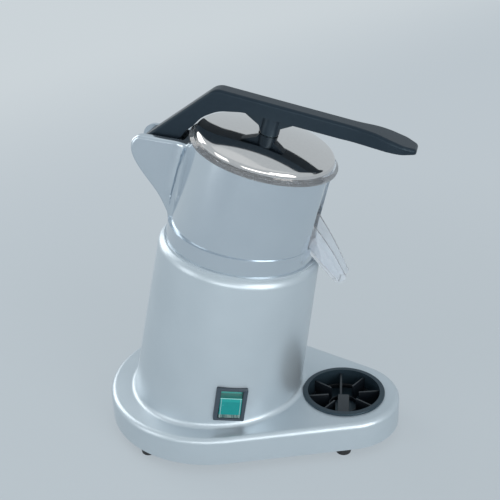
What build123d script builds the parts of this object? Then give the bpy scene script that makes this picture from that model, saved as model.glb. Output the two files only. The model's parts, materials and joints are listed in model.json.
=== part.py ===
from build123d import *
import math
import os

os.makedirs("parts", exist_ok=True)

# ---------------------------------------------------------------- driving dimensions (mm, degrees)
# base
BASE_R = 100.0          # big end of the teardrop
BASE_X = -42.3          # its centre
NOSE_R = 52.0           # small end
BASE_BOTTOM = 8.0       # underside of the casting
BASE_TOP = 34.8         # flat top of the base
BASE_WALL = 4.0
BASE_EDGE = 5.0         # rounding of the top edge
PLATE_T = 1.6           # bottom plate
PLATE_STEP = 1.8        # ledge the bottom plate sits on
# leaning motor housing
SHELL_LEAN = 10.4
TOWER_X = -36.76        # where the leaning axis meets the top of the base
SHELL_LEN = 153.217     # along the leaning axis, base top to the joint
SHELL_FLARE = 7.4       # how much wider the foot is than the top
SHELL_WALL = 3.5
DECK_T = 5.0
SHOULDER_R = 8.0
SHOULDER_DROP = 1.2
LAND_RIM = 1.5          # raised land outside the bowl holder
SHOULDER_W = 4.1        # shoulder outside the land
FOOT_FILLET = 5.0
# drive axis: motor, squeezing head, bowl and lid
LEAN = 15.8
SHAFT_R = 6.0
SHAFT_TOP = 62.0
MOTOR_TOP = -16.0
MOTOR_R = 50.0
STACK_L = 45.0
SHIELD_T = 24.0         # height of one end shield
# bowl holder
BOWL_R = 58.6           # outside of the juice bowl
BOWL_GAP = 0.6
CUP_IN_R = BOWL_R + BOWL_GAP
CUP_WALL = 3.8
CUP_TOP_R = CUP_IN_R + CUP_WALL
CUP_DRAFT = 2.0
CUP_FOOT_R = CUP_TOP_R + CUP_DRAFT
BAND_STEP = 1.9
BAND_R = CUP_FOOT_R + BAND_STEP
BAND_H = 15.6
CUP_TOP = 88.5
CUP_FLOOR = 16.0
FLOOR_T = 3.5
MOUTH_HALF = 22.0       # open front for the spout
FORK_HALF = 20.0
FORK_SLOT = 13.0
PIVOT_BACK = 34.0       # pivot behind the bowl
PIVOT_X = -BOWL_R - PIVOT_BACK
PIVOT_Z = CUP_TOP - 27.5
PIN_R = 4.0
# juice bowl
BOWL_WALL = 2.4
BOWL_IN = BOWL_R - BOWL_WALL
BOWL_FLOOR = 17.5
BOWL_FLOOR_T = 2.5
FLANGE_W = 6.0
FLANGE_R = BOWL_R + FLANGE_W
FLANGE_T = 1.3
SPOUT_X = BOWL_R + 1.4  # where the chute leaves the wall
TUBE_R = 15.4
TUBE_TOP = 46.0
SPOUT_HALF = 13.4
SPOUT_TIP_HALF = 7.0
# strainer, squeezing head, lid
RIB_TOP = 40.0
REAMER_R = 33.0
REAMER_BASE = 42.0
REAMER_TIP = 76.0
LID_R = BOWL_R + 1.9
LID_EDGE = CUP_TOP + 3.7
LID_RISE = 12.6         # dome height above its edge
LID_TOP = LID_EDGE + LID_RISE
LID_T = 1.0
COLLAR_R = 7.8
COLLAR_TOP = LID_TOP + 0.9
STUD_LOW = 86.0         # underside of the presser's roof
STUD_TOP = LID_TOP + 13.2
STUD_R = 4.0
PRESSER_R = 33.0
# lever
ARM_HALF = 9.0
GRIP_HALF = 14.4
HUB_R = 14.0
HUB_HALF = 12.6
# drip well
WELL_R = 36.0
WELL_FLOOR = 12.5
RING_R = WELL_R + 2.4
RING_T = 2.0
RING_GAP = 2.82         # between the ring and the foot of the housing
# feet
FOOT_R = 7.5
NOSE_INSET = 8.4        # of the front feet from the edge of the base
HEEL_INSET = 9.7        # of the back feet
# capacitor
CAP_X = BASE_X - 35.0
CAP_R = 14.0
CAP_LEN = 52.0
CLIP_HALF = CAP_R + 7.0
# terminal block
TERM_X = BASE_X + 32.0
TERM_Y = 46.0
# cord gland
GLAND_Z = 20.5
GLAND_TURN = 150.0      # round the big end of the base
GLAND_R = 6.2
# switch
SWITCH_ANGLE = -69.0
SWITCH_UP = 30.0
BEZEL_W = 27.6
BEZEL_H = 33.8
WINDOW_W = 20.0
WINDOW_H = 29.0
CASE_WALL = 1.0

# ---------------------------------------------------------------- frames
SA = math.sin(math.radians(SHELL_LEAN))
CA = math.cos(math.radians(SHELL_LEAN))
SL = math.sin(math.radians(LEAN))
CL = math.cos(math.radians(LEAN))
SEAM_X = TOWER_X + SHELL_LEN * SA   # centre of the joint between housing and bowl holder
SEAM_Z = BASE_TOP + SHELL_LEN * CA
SEAM_PT = (SEAM_X, 0, SEAM_Z)
LAND_R = BAND_R + LAND_RIM
SHELL_TOP_R = LAND_R + SHOULDER_W
SHELL_FOOT_R = SHELL_TOP_R + SHELL_FLARE
NOSE_X = TOWER_X + SHELL_FOOT_R / CA + RING_GAP + RING_R    # centre of the small end and drip cup
SCREW_R = CUP_IN_R - 9.2
# housing frame: z along the leaning casting, origin at the joint
SEAM = Plane(origin=SEAM_PT, x_dir=(CA, 0, -SA), z_dir=(SA, 0, CA))
SEAM_SIDE = Plane(origin=SEAM_PT, x_dir=(CA, 0, -SA), z_dir=(0, -1, 0))
SEAM_AXIS = Axis(SEAM_PT, (SA, 0, CA))
# drive frame: z along the motor shaft, same origin
DRIVE = Plane(origin=SEAM_PT, x_dir=(CL, 0, -SL), z_dir=(SL, 0, CL))
SIDE = Plane(origin=SEAM_PT, x_dir=(CL, 0, -SL), z_dir=(0, -1, 0))
DRIVE_AXIS = Axis(SEAM_PT, (SL, 0, CL))
TILT = math.tan(math.radians(LEAN - SHELL_LEAN))


def around(x, r, deg):
    return (x + r * math.cos(math.radians(deg)), r * math.sin(math.radians(deg)))


FEET = (
    around(NOSE_X, NOSE_R - NOSE_INSET, 80.8),
    around(NOSE_X, NOSE_R - NOSE_INSET, -80.8),
    around(BASE_X, BASE_R - HEEL_INSET, 116.3),
    around(BASE_X, BASE_R - HEEL_INSET, -116.3),
)
# cord gland frame, z outwards
GLAND_PT = around(BASE_X, BASE_R - 1.2, GLAND_TURN)
GLAND_N = around(0, 1, GLAND_TURN)
GLAND = Plane(origin=(*GLAND_PT, GLAND_Z), x_dir=(-GLAND_N[1], GLAND_N[0], 0), z_dir=(*GLAND_N, 0))


def finish(builder, name):
    builder.part.label = name
    export_step(builder.part, "parts/" + name + ".step")
    print(name, len(builder.part.solids()), round(builder.part.volume))


def spin(plane, axis, points):
    """Revolved solid from a closed half profile given in the plane of the axis."""
    with BuildPart() as turned:
        with BuildSketch(plane):
            with BuildLine():
                Polyline(*points, close=True)
            make_face()
        revolve(axis=axis)
    return turned.part


def shell_r(drop):
    """Outer radius of the leaning housing at a distance below the joint."""
    return SHELL_TOP_R + (SHELL_FOOT_R - SHELL_TOP_R) * drop / SHELL_LEN


# switch frame on the leaning wall, z outwards
PHI = math.radians(SWITCH_ANGLE)
TAPER = math.atan((SHELL_FOOT_R - SHELL_TOP_R) / SHELL_LEN)
SW_DROP = SHELL_LEN - SWITCH_UP
SW_R = shell_r(SW_DROP)
sw_local = (SW_R * math.cos(PHI), SW_R * math.sin(PHI), -SW_DROP)
SW_PT = SEAM.from_local_coords(Vector(*sw_local))
rad = SEAM.x_dir * math.cos(PHI) + SEAM.y_dir * math.sin(PHI)
SW_N = rad * math.cos(TAPER) + SEAM.z_dir * math.sin(TAPER)
SW_X = SEAM.y_dir * math.cos(PHI) - SEAM.x_dir * math.sin(PHI)
SWITCH = Plane(origin=SW_PT, x_dir=SW_X, z_dir=SW_N)
SW_SIDE = Plane(origin=SW_PT, x_dir=SWITCH.y_dir, z_dir=SWITCH.x_dir)
SEAT = -1.6


# ---------------------------------------------------------------- housing casting
LOW = SHELL_LEN + 19.0
with BuildPart() as tower:
    with BuildSketch(SEAM_SIDE):
        with BuildLine():
            Polyline(
                (0, -SHOULDER_DROP),
                (SHELL_TOP_R, -SHOULDER_DROP),
                (shell_r(LOW), -LOW),
                (0, -LOW),
                close=True,
            )
        make_face()
    revolve(axis=SEAM_AXIS)
    fillet(tower.faces().sort_by(SEAM_AXIS)[-1].edges(), SHOULDER_R)
    split(bisect_by=Plane.XY.offset(BASE_BOTTOM + 12), keep=Keep.TOP)

with BuildPart() as hollow:
    add(spin(SEAM_SIDE, SEAM_AXIS, [
        (0, -DECK_T),
        (SHELL_TOP_R - SHELL_WALL - 0.2, -DECK_T),
        (shell_r(LOW) - SHELL_WALL, -LOW),
        (0, -LOW),
    ]))
    fillet(hollow.faces().sort_by(SEAM_AXIS)[-1].edges(), 5)
    split(bisect_by=Plane.XY.offset(BASE_TOP - 8), keep=Keep.TOP)
    with BuildSketch(Plane.XY.offset(BASE_BOTTOM)):
        with Locations((BASE_X, 0)):
            Circle(BASE_R - BASE_WALL)
        with Locations((NOSE_X, 0)):
            Circle(NOSE_R - BASE_WALL)
        make_hull()
    extrude(amount=BASE_TOP - BASE_WALL - BASE_BOTTOM)

with BuildPart() as housing:
    with BuildSketch(Plane.XY.offset(BASE_BOTTOM)):
        with Locations((BASE_X, 0)):
            Circle(BASE_R)
        with Locations((NOSE_X, 0)):
            Circle(NOSE_R)
        make_hull()
    extrude(amount=BASE_TOP - BASE_BOTTOM)
    fillet(housing.faces().sort_by(Axis.Z)[-1].edges(), BASE_EDGE)
    add(tower.part)
    foot_line = [
        e for e in housing.edges().filter_by_position(Axis.Z, BASE_TOP - 0.01, BASE_TOP + 0.01)
        if e.geom_type not in (GeomType.LINE, GeomType.CIRCLE)
    ]
    fillet(foot_line, FOOT_FILLET)
    with BuildSketch(SEAM.offset(-4)):
        Circle(LAND_R)
    extrude(amount=4)
    add(hollow.part, mode=Mode.SUBTRACT)
    # ledge for the bottom plate
    with BuildSketch(Plane.XY.offset(BASE_BOTTOM)):
        with Locations((BASE_X, 0)):
            Circle(BASE_R - BASE_WALL + PLATE_STEP)
        with Locations((NOSE_X, 0)):
            Circle(NOSE_R - BASE_WALL + PLATE_STEP)
        make_hull()
    extrude(amount=PLATE_T, mode=Mode.SUBTRACT)
    # well for the drip cup
    with BuildSketch(Plane.XY.offset(WELL_FLOOR)):
        with Locations((NOSE_X, 0)):
            Circle(WELL_R + 3)
    extrude(amount=BASE_TOP - BASE_WALL + 1 - WELL_FLOOR)
    with BuildSketch(Plane.XY.offset(WELL_FLOOR + 3)):
        with Locations((NOSE_X, 0)):
            Circle(WELL_R)
    extrude(amount=BASE_TOP, mode=Mode.SUBTRACT)
    with BuildSketch(Plane.XY.offset(BASE_TOP)):
        with Locations((NOSE_X, 0)):
            Circle(RING_R + 0.3)
    extrude(amount=RING_T + 1, mode=Mode.SUBTRACT)
    # bosses for the feet
    with BuildSketch(Plane.XY.offset(BASE_BOTTOM + PLATE_T)):
        with Locations(*FEET):
            Circle(5.5)
    extrude(amount=BASE_TOP - BASE_WALL + 1 - BASE_BOTTOM - PLATE_T)
    # bosses that carry the motor, square to the drive axis
    for sx in (1, -1):
        with BuildSketch(DRIVE.offset(MOTOR_TOP)):
            with Locations((sx * 29.7, 29.7), (sx * 29.7, -29.7)):
                Circle(6)
        extrude(amount=-MOTOR_TOP + sx * 29.7 * TILT - 1.5)
    # bosses for the bowl holder screws
    with BuildSketch(SEAM.offset(-10)):
        with PolarLocations(SCREW_R, 4):
            Circle(5.5)
    extrude(amount=7)
    # holes in the deck
    with BuildSketch(DRIVE.offset(MOTOR_TOP - 2)):
        Circle(9.5)
        with GridLocations(59.4, 59.4, 2, 2):
            Circle(2.75)
    extrude(amount=40, mode=Mode.SUBTRACT)
    with BuildSketch(DRIVE.offset(-8.5)):
        with GridLocations(59.4, 59.4, 2, 2):
            Circle(4.75)
    extrude(amount=20, mode=Mode.SUBTRACT)
    with BuildSketch(SEAM.offset(-11)):
        with PolarLocations(SCREW_R, 4):
            Circle(2.5)
    extrude(amount=20, mode=Mode.SUBTRACT)
    # screw holes for the feet
    with BuildSketch(Plane.XY.offset(BASE_BOTTOM + PLATE_T)):
        with Locations(*FEET):
            Circle(2.0)
    extrude(amount=14, mode=Mode.SUBTRACT)
    # flat and hole for the cord gland at the back
    with BuildSketch(GLAND):
        Circle(11)
    extrude(amount=6, mode=Mode.SUBTRACT)
    with BuildSketch(GLAND.offset(6)):
        Circle(GLAND_R)
    extrude(amount=-14, mode=Mode.SUBTRACT)
    # seat for the switch
    with BuildSketch(SWITCH.offset(SEAT - 3)):
        Rectangle(BEZEL_W + 6, BEZEL_H + 6)
    extrude(amount=2.6)
    with BuildSketch(SWITCH.offset(SEAT)):
        RectangleRounded(BEZEL_W + 0.6, BEZEL_H + 0.6, 1.5)
    extrude(amount=12, mode=Mode.SUBTRACT)
    with BuildSketch(SWITCH.offset(SEAT - 6)):
        Rectangle(WINDOW_W + 2 * CASE_WALL + 0.4, WINDOW_H + 2 * CASE_WALL + 0.4)
    extrude(amount=12, mode=Mode.SUBTRACT)
finish(housing, "housing")

# ---------------------------------------------------------------- bottom plate, feet
with BuildPart() as bottom_plate:
    with BuildSketch(Plane.XY.offset(BASE_BOTTOM)):
        with Locations((BASE_X, 0)):
            Circle(BASE_R - BASE_WALL + PLATE_STEP - 0.3)
        with Locations((NOSE_X, 0)):
            Circle(NOSE_R - BASE_WALL + PLATE_STEP - 0.3)
        make_hull()
    extrude(amount=PLATE_T)
    with BuildSketch(Plane.XY.offset(BASE_BOTTOM)):
        with Locations(*FEET):
            Circle(2.3)
        with Locations((CAP_X - CLIP_HALF, 0), (CAP_X + CLIP_HALF, 0)):
            Circle(2.0)
        with Locations((BASE_X + 66, 0)):
            with GridLocations(12, 24, 4, 3):
                SlotOverall(16, 3, rotation=90)
    extrude(amount=PLATE_T, mode=Mode.SUBTRACT)
finish(bottom_plate, "bottom_plate")

with BuildPart() as rubber_feet:
    for fx, fy in FEET:
        with BuildSketch(Plane.XY):
            with Locations((fx, fy)):
                Circle(FOOT_R - 0.8)
        with BuildSketch(Plane.XY.offset(BASE_BOTTOM)):
            with Locations((fx, fy)):
                Circle(FOOT_R + 0.4)
        loft()
    fillet(rubber_feet.edges().group_by(Axis.Z)[0], 0.8)
    with BuildSketch(Plane.XY):
        with Locations(*FEET):
            Circle(4.2)
    extrude(amount=4.5, mode=Mode.SUBTRACT)
    with BuildSketch(Plane.XY):
        with Locations(*FEET):
            Circle(2.1)
    extrude(amount=BASE_BOTTOM, mode=Mode.SUBTRACT)
finish(rubber_feet, "rubber_feet")

with BuildPart() as foot_screws:
    with BuildSketch(Plane.XY.offset(1.9)):
        with Locations(*FEET):
            Circle(3.7)
    extrude(amount=2.6)
    with BuildSketch(Plane.XY.offset(4.5)):
        with Locations(*FEET):
            Circle(2.0)
    extrude(amount=15)
    with BuildSketch(Plane.XY.offset(1.9)):
        with Locations(*FEET):
            RegularPolygon(1.8, 6)
    extrude(amount=1.6, mode=Mode.SUBTRACT)
finish(foot_screws, "foot_screws")

# ---------------------------------------------------------------- bowl holder casting
FORK_PROFILE = [
    (PIVOT_X - 17.7, PIVOT_Z + 3.0), (PIVOT_X - 14.2, PIVOT_Z - 7.5),
    (PIVOT_X - 4.4, PIVOT_Z - 18.4), (PIVOT_X + 6.1, PIVOT_Z * 0.554),
    (PIVOT_X + 16.6, PIVOT_Z * 0.393), (PIVOT_X + 24.0, 14.5), (PIVOT_X + 28.0, 4.5),
]
# fork that carries the lever, flared where it grows out of the cup
with BuildPart() as fork:
    with BuildSketch(DRIVE):
        Circle(CUP_TOP_R)
        with Locations((PIVOT_X / 2 - 14, 0)):
            Rectangle(28 - PIVOT_X, 2 * FORK_HALF)
        corners = [
            v for v in vertices()
            if -CUP_TOP_R < v.X < 13 - CUP_TOP_R and abs(abs(v.Y) - FORK_HALF) < 0.01
        ]
        fillet(corners, 8)
    extrude(amount=CUP_TOP)
    with BuildSketch(SIDE):
        with BuildLine():
            tail = Spline(*FORK_PROFILE, tangents=((0.02, -1), (0.25, -1)))
            a = Line(tail @ 1, (13 - CUP_TOP_R, 4.5))
            b = Line(a @ 1, (13 - CUP_TOP_R, PIVOT_Z + 21.8))
            c = Line(b @ 1, (PIVOT_X - 8.9, PIVOT_Z + 13.4))
            ThreePointArc(c @ 1, (PIVOT_X - 15.3, PIVOT_Z + 9.9), tail @ 0)
        make_face()
    extrude(amount=60, both=True, mode=Mode.INTERSECT)
    cheek_edges = [
        e for e in fork.edges()
        if abs(abs(e.center().Y) - FORK_HALF) < 0.01
        and DRIVE.to_local_coords(e.center()).X < -CUP_TOP_R - 3
    ]
    fillet(cheek_edges, 3)

with BuildPart() as underside:
    with BuildSketch(DRIVE.offset(CUP_FLOOR - FLOOR_T)):
        Circle(CUP_IN_R - 1)
    extrude(amount=-40)
    with BuildSketch(SEAM.offset(-30)):
        Circle(BAND_R - 5)
    extrude(amount=60, mode=Mode.INTERSECT)

with BuildPart() as posts:
    with BuildSketch(SEAM):
        with PolarLocations(SCREW_R, 4):
            Circle(7.5)
    extrude(amount=30)
    with BuildSketch(DRIVE.offset(-20)):
        Circle(CUP_IN_R + 1)
    extrude(amount=20 + CUP_FLOOR - 0.5, mode=Mode.INTERSECT)

MOUTH_RIM = CUP_TOP - BAND_H - 0.4
with BuildPart() as bowl_holder:
    # round cup, slightly narrower at the top
    add(spin(SIDE, DRIVE_AXIS, [
        (0, 4), (CUP_FOOT_R, 4), (CUP_FOOT_R, 10), (CUP_TOP_R, CUP_TOP), (0, CUP_TOP),
    ]))
    add(fork.part)
    # foot band, square to the housing
    with BuildSketch(SEAM):
        Circle(BAND_R)
    extrude(amount=BAND_H, taper=1.0)
    split(bisect_by=SEAM, keep=Keep.TOP)
    band_edge = [
        e for e in bowl_holder.edges().filter_by(GeomType.CIRCLE)
        if abs(e.radius - BAND_R) < 0.6 and abs(SEAM.to_local_coords(e.center()).Z - BAND_H) < 3
    ]
    # pocket for the bowl
    with BuildSketch(DRIVE.offset(CUP_FLOOR)):
        Circle(CUP_IN_R)
    extrude(amount=CUP_TOP, mode=Mode.SUBTRACT)
    # hollow underneath, with posts for the screws and a neck round the shaft
    add(underside.part, mode=Mode.SUBTRACT)
    add(posts.part)
    with BuildSketch(DRIVE.offset(CUP_FLOOR - FLOOR_T)):
        Circle(12)
    extrude(amount=10 + FLOOR_T)
    with BuildSketch(DRIVE.offset(-10)):
        Circle(9.5)
    extrude(amount=60, mode=Mode.SUBTRACT)
    with BuildSketch(SEAM.offset(-1)):
        with PolarLocations(SCREW_R, 4):
            Circle(2.75)
    extrude(amount=40, mode=Mode.SUBTRACT)
    with BuildSketch(SEAM.offset(6)):
        with PolarLocations(SCREW_R, 4):
            Circle(4.75)
    extrude(amount=40, mode=Mode.SUBTRACT)
    # open mouth at the front, widening at the rim
    with BuildSketch(Plane(origin=SEAM.from_local_coords(Vector(40, 0, BAND_H)),
                           x_dir=(0, 1, 0), z_dir=SEAM.x_dir)):
        with Locations((0, 45)):
            Rectangle(2 * MOUTH_HALF, 90)
        with Locations((0, MOUTH_RIM + 10)):
            Rectangle(2 * MOUTH_HALF + 12, 20)
        fillet([v for v in vertices() if abs(v.Y - MOUTH_RIM) < 0.01 and abs(v.X) < MOUTH_HALF + 1], 6)
        fillet([v for v in vertices() if abs(v.Y) < 0.01], 5)
    extrude(amount=60, mode=Mode.SUBTRACT)
    # notch under the spout
    with BuildSketch(SIDE):
        Polygon(
            (SPOUT_X - 10, BOWL_FLOOR - 0.6), (SPOUT_X, BOWL_FLOOR - 0.6),
            (SPOUT_X + 20, BOWL_FLOOR - 14.7), (SPOUT_X + 20, 40), (SPOUT_X - 10, 40), align=None,
        )
    extrude(amount=SPOUT_HALF + 0.6, both=True, mode=Mode.SUBTRACT)
    # slot between the cheeks
    with BuildSketch(SIDE):
        with Locations((PIVOT_X, PIVOT_Z)):
            Circle(HUB_R + 1.0)
        Polygon(
            (PIVOT_X, PIVOT_Z), (PIVOT_X - 12.2, PIVOT_Z - 7.8), (PIVOT_X - 32, PIVOT_Z - 7.8),
            (PIVOT_X - 32, 110), (-CUP_TOP_R - 0.4, 110), (-CUP_TOP_R - 0.4, PIVOT_Z + 23),
            (-CUP_TOP_R - 7, PIVOT_Z + 15), (PIVOT_X + HUB_R + 1.0, PIVOT_Z), align=None,
        )
    extrude(amount=FORK_SLOT, both=True, mode=Mode.SUBTRACT)
    # pin hole, blind in the near cheek
    with BuildSketch(SIDE.offset(-FORK_HALF - 1)):
        with Locations((PIVOT_X, PIVOT_Z)):
            Circle(PIN_R)
    extrude(amount=2 * FORK_HALF - 2.5, mode=Mode.SUBTRACT)
finish(bowl_holder, "bowl_holder")

# ---------------------------------------------------------------- screws for the holder and the motor
with BuildPart() as holder_screws:
    with BuildSketch(SEAM.offset(6)):
        with PolarLocations(SCREW_R, 4):
            Circle(4.4)
    extrude(amount=3.6)
    with BuildSketch(SEAM.offset(-9.5)):
        with PolarLocations(SCREW_R, 4):
            Circle(2.5)
    extrude(amount=15.5)
    with BuildSketch(SEAM.offset(7.6)):
        with PolarLocations(SCREW_R, 4):
            RegularPolygon(2.2, 6)
    extrude(amount=2, mode=Mode.SUBTRACT)
finish(holder_screws, "holder_screws")

with BuildPart() as motor_screws:
    with BuildSketch(DRIVE.offset(-8.5)):
        with GridLocations(59.4, 59.4, 2, 2):
            Circle(4.4)
    extrude(amount=3.4)
    with BuildSketch(DRIVE.offset(-24)):
        with GridLocations(59.4, 59.4, 2, 2):
            Circle(2.5)
    extrude(amount=15.5)
    with BuildSketch(DRIVE.offset(-7)):
        with GridLocations(59.4, 59.4, 2, 2):
            RegularPolygon(2.2, 6)
    extrude(amount=2, mode=Mode.SUBTRACT)
finish(motor_screws, "motor_screws")

# ---------------------------------------------------------------- juice bowl with its spout
SPOUT_ROOT = SPOUT_X - 6
INNER_FLOOR = BOWL_FLOOR + BOWL_FLOOR_T
with BuildPart() as spout:
    with BuildSketch(SIDE):
        with BuildLine():
            s1 = Polyline((SPOUT_ROOT, BOWL_FLOOR), (SPOUT_X, BOWL_FLOOR), (SPOUT_X + 29.5, -3.3))
            s2 = ThreePointArc(s1 @ 1, (SPOUT_X + 32.6, -4.6), (SPOUT_X + 36, -3.9))
            s3 = ThreePointArc(s2 @ 1, (SPOUT_X + 39.5, -1.0), (SPOUT_X + 37, 5.0))
            s4 = ThreePointArc(s3 @ 1, (SPOUT_X + 19, 25.0), (SPOUT_X, 42.0))
            s5 = Line(s4 @ 1, (SPOUT_ROOT, 43.5))
            Line(s5 @ 1, s1 @ 0)
        make_face()
    extrude(amount=30, both=True)
    with BuildSketch(DRIVE.offset(-20)):
        Polygon(
            (SPOUT_ROOT, -SPOUT_HALF), (SPOUT_X, -SPOUT_HALF), (SPOUT_X + 41, -SPOUT_TIP_HALF),
            (SPOUT_X + 41, SPOUT_TIP_HALF), (SPOUT_X, SPOUT_HALF), (SPOUT_ROOT, SPOUT_HALF),
            align=None,
        )
    extrude(amount=80, mode=Mode.INTERSECT)
    with BuildSketch(DRIVE):
        Circle(BOWL_IN + 0.5)
    extrude(amount=60, mode=Mode.SUBTRACT)
with BuildPart() as channel:
    with BuildSketch(SIDE):
        Polygon(
            (SPOUT_ROOT - 4, INNER_FLOOR), (SPOUT_X + 0.8, INNER_FLOOR), (SPOUT_X + 38, -6.5),
            (SPOUT_X + 60, 0), (SPOUT_X + 60, 60), (SPOUT_X + 1, 60), (SPOUT_ROOT + 4.5, 46),
            (SPOUT_ROOT + 4.5, 38), (SPOUT_ROOT - 4, 38), align=None,
        )
    extrude(amount=30, both=True)
    with BuildSketch(DRIVE.offset(-20)):
        Polygon(
            (SPOUT_X - 20, -SPOUT_HALF + 2.2), (SPOUT_X, -SPOUT_HALF + 2.2),
            (SPOUT_X + 43, -SPOUT_TIP_HALF + 2), (SPOUT_X + 43, SPOUT_TIP_HALF - 2),
            (SPOUT_X, SPOUT_HALF - 2.2), (SPOUT_X - 20, SPOUT_HALF - 2.2), align=None,
        )
    extrude(amount=90, mode=Mode.INTERSECT)

with BuildPart() as juice_bowl:
    add(spin(SIDE, DRIVE_AXIS, [
        (0, BOWL_FLOOR), (BOWL_R - 2, BOWL_FLOOR), (BOWL_R, BOWL_FLOOR + 2), (BOWL_R, CUP_TOP),
        (FLANGE_R, CUP_TOP), (FLANGE_R, CUP_TOP + FLANGE_T), (FLANGE_R - 2.6, LID_EDGE),
        (BOWL_R - 0.2, LID_EDGE), (BOWL_R - 0.2, LID_EDGE + 2.5), (BOWL_IN, LID_EDGE + 2.5),
        (BOWL_IN, BOWL_FLOOR + BOWL_FLOOR_T), (TUBE_R, BOWL_FLOOR + BOWL_FLOOR_T),
        (TUBE_R, TUBE_TOP), (0, TUBE_TOP),
    ]))
    add(spout.part)
    add(channel.part, mode=Mode.SUBTRACT)
    # ribs that carry the strainer
    with BuildSketch(DRIVE.offset(BOWL_FLOOR + 1)):
        with PolarLocations(BOWL_IN - 0.8, 6, start_angle=30):
            Rectangle(4, 3)
    extrude(amount=RIB_TOP - BOWL_FLOOR - 1)
    with BuildSketch(DRIVE.offset(BOWL_FLOOR - 1)):
        Circle(TUBE_R - 2.2)
    extrude(amount=TUBE_TOP, mode=Mode.SUBTRACT)
finish(juice_bowl, "juice_bowl")

# ---------------------------------------------------------------- strainer
STRAIN_LOW = RIB_TOP - 6
SLOT_OUT = BOWL_IN - 14.2       # outer row of slots
SLOT_IN = 24.5                  # inner row
SLOT_L = (SLOT_OUT - SLOT_IN) / 2 - 1.75
with BuildPart() as strainer:
    add(spin(SIDE, DRIVE_AXIS, [
        (17.4, STRAIN_LOW + 4), (18.6, STRAIN_LOW + 4), (19.4, STRAIN_LOW + 1.2),
        (BOWL_IN - 9.2, STRAIN_LOW + 1.2), (BOWL_IN - 7, RIB_TOP + 1.2), (BOWL_IN - 0.3, RIB_TOP + 1.2),
        (BOWL_IN - 0.3, RIB_TOP), (BOWL_IN - 6.2, RIB_TOP), (BOWL_IN - 8.4, STRAIN_LOW),
        (18.6, STRAIN_LOW), (17.4, STRAIN_LOW + 2.8),
    ]))
    with BuildSketch(DRIVE.offset(STRAIN_LOW - 1)):
        with PolarLocations(SLOT_IN, 24):
            SlotOverall(SLOT_L, 1.8)
        with PolarLocations((SLOT_IN + SLOT_OUT) / 2 + 0.25, 36):
            SlotOverall(SLOT_L, 1.8)
        with PolarLocations(SLOT_OUT, 48):
            SlotOverall(SLOT_L - 1, 1.8)
    extrude(amount=4, mode=Mode.SUBTRACT)
finish(strainer, "strainer")

# ---------------------------------------------------------------- squeezing head
with BuildPart() as rib_blade:
    with BuildSketch(SIDE):
        with BuildLine():
            r1 = Line((0, REAMER_BASE + 1), (REAMER_R - 1.5, REAMER_BASE + 1))
            r2 = Line(r1 @ 1, (REAMER_R - 1.5, REAMER_BASE + 5))
            r3 = ThreePointArc(r2 @ 1, (19.5, REAMER_BASE + 24), (0, REAMER_TIP))
            Line(r3 @ 1, r1 @ 0)
        make_face()
    extrude(amount=1.2, both=True)
with BuildPart() as reamer:
    with BuildSketch(SIDE):
        with BuildLine():
            q1 = Line((0, REAMER_BASE), (REAMER_R, REAMER_BASE))
            q2 = Line(q1 @ 1, (REAMER_R, REAMER_BASE + 2))
            q3 = Line(q2 @ 1, (25.5, REAMER_BASE + 3.2))
            q4 = ThreePointArc(q3 @ 1, (16.0, REAMER_BASE + 20), (4.0, REAMER_TIP - 4))
            q5 = ThreePointArc(q4 @ 1, (2.2, REAMER_TIP - 1.2), (0, REAMER_TIP - 0.6))
            Line(q5 @ 1, q1 @ 0)
        make_face()
    revolve(axis=DRIVE_AXIS)
    for k in range(10):
        add(rib_blade.part.rotate(DRIVE_AXIS, 36 * k))
    with BuildSketch(DRIVE.offset(REAMER_BASE - 1)):
        Circle(17.6)
    extrude(amount=7.5, mode=Mode.SUBTRACT)
    with BuildSketch(DRIVE.offset(REAMER_BASE - 2)):
        Circle(10)
    extrude(amount=12)
    with BuildSketch(DRIVE.offset(REAMER_BASE - 3)):
        Circle(SHAFT_R + 0.03)
    extrude(amount=SHAFT_TOP - REAMER_BASE + 3, mode=Mode.SUBTRACT)
    with BuildSketch(DRIVE.offset(REAMER_BASE - 3)):
        Rectangle(22, 4.2)
    extrude(amount=6.2, mode=Mode.SUBTRACT)
finish(reamer, "reamer")

# ---------------------------------------------------------------- lid, presser and their stud
LID_SIDE = LID_EDGE + 1.7
LID_IN = LID_R - LID_T
with BuildPart() as lid:
    with BuildSketch(SIDE):
        with BuildLine():
            d1 = Line((STUD_R + 0.05, LID_TOP), (COLLAR_R, LID_TOP))
            d2 = ThreePointArc(d1 @ 1, (34, LID_TOP - 2.4), (LID_R - 3.14, LID_TOP - 6.95))
            d3 = ThreePointArc(d2 @ 1, (LID_R - 0.88, LID_TOP - 8.36), (LID_R, LID_SIDE))
            d4 = Line(d3 @ 1, (LID_R, LID_EDGE))
            d5 = Line(d4 @ 1, (LID_IN - 0.5, LID_EDGE))
            d6 = Line(d5 @ 1, (LID_IN - 0.5, LID_EDGE + 1.0))
            d7 = Line(d6 @ 1, (LID_IN, LID_EDGE + 1.0))
            d8 = Line(d7 @ 1, (LID_IN, LID_SIDE))
            d9 = ThreePointArc(d8 @ 1, (LID_R - 1.67, LID_TOP - 8.98), (LID_R - 3.37, LID_TOP - 7.92))
            d10 = ThreePointArc(d9 @ 1, (34, LID_TOP - LID_T - 2.4), (COLLAR_R, LID_TOP - LID_T))
            d11 = Line(d10 @ 1, (STUD_R + 0.05, LID_TOP - LID_T))
            Line(d11 @ 1, d1 @ 0)
        make_face()
    revolve(axis=DRIVE_AXIS)
finish(lid, "lid")

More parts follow.
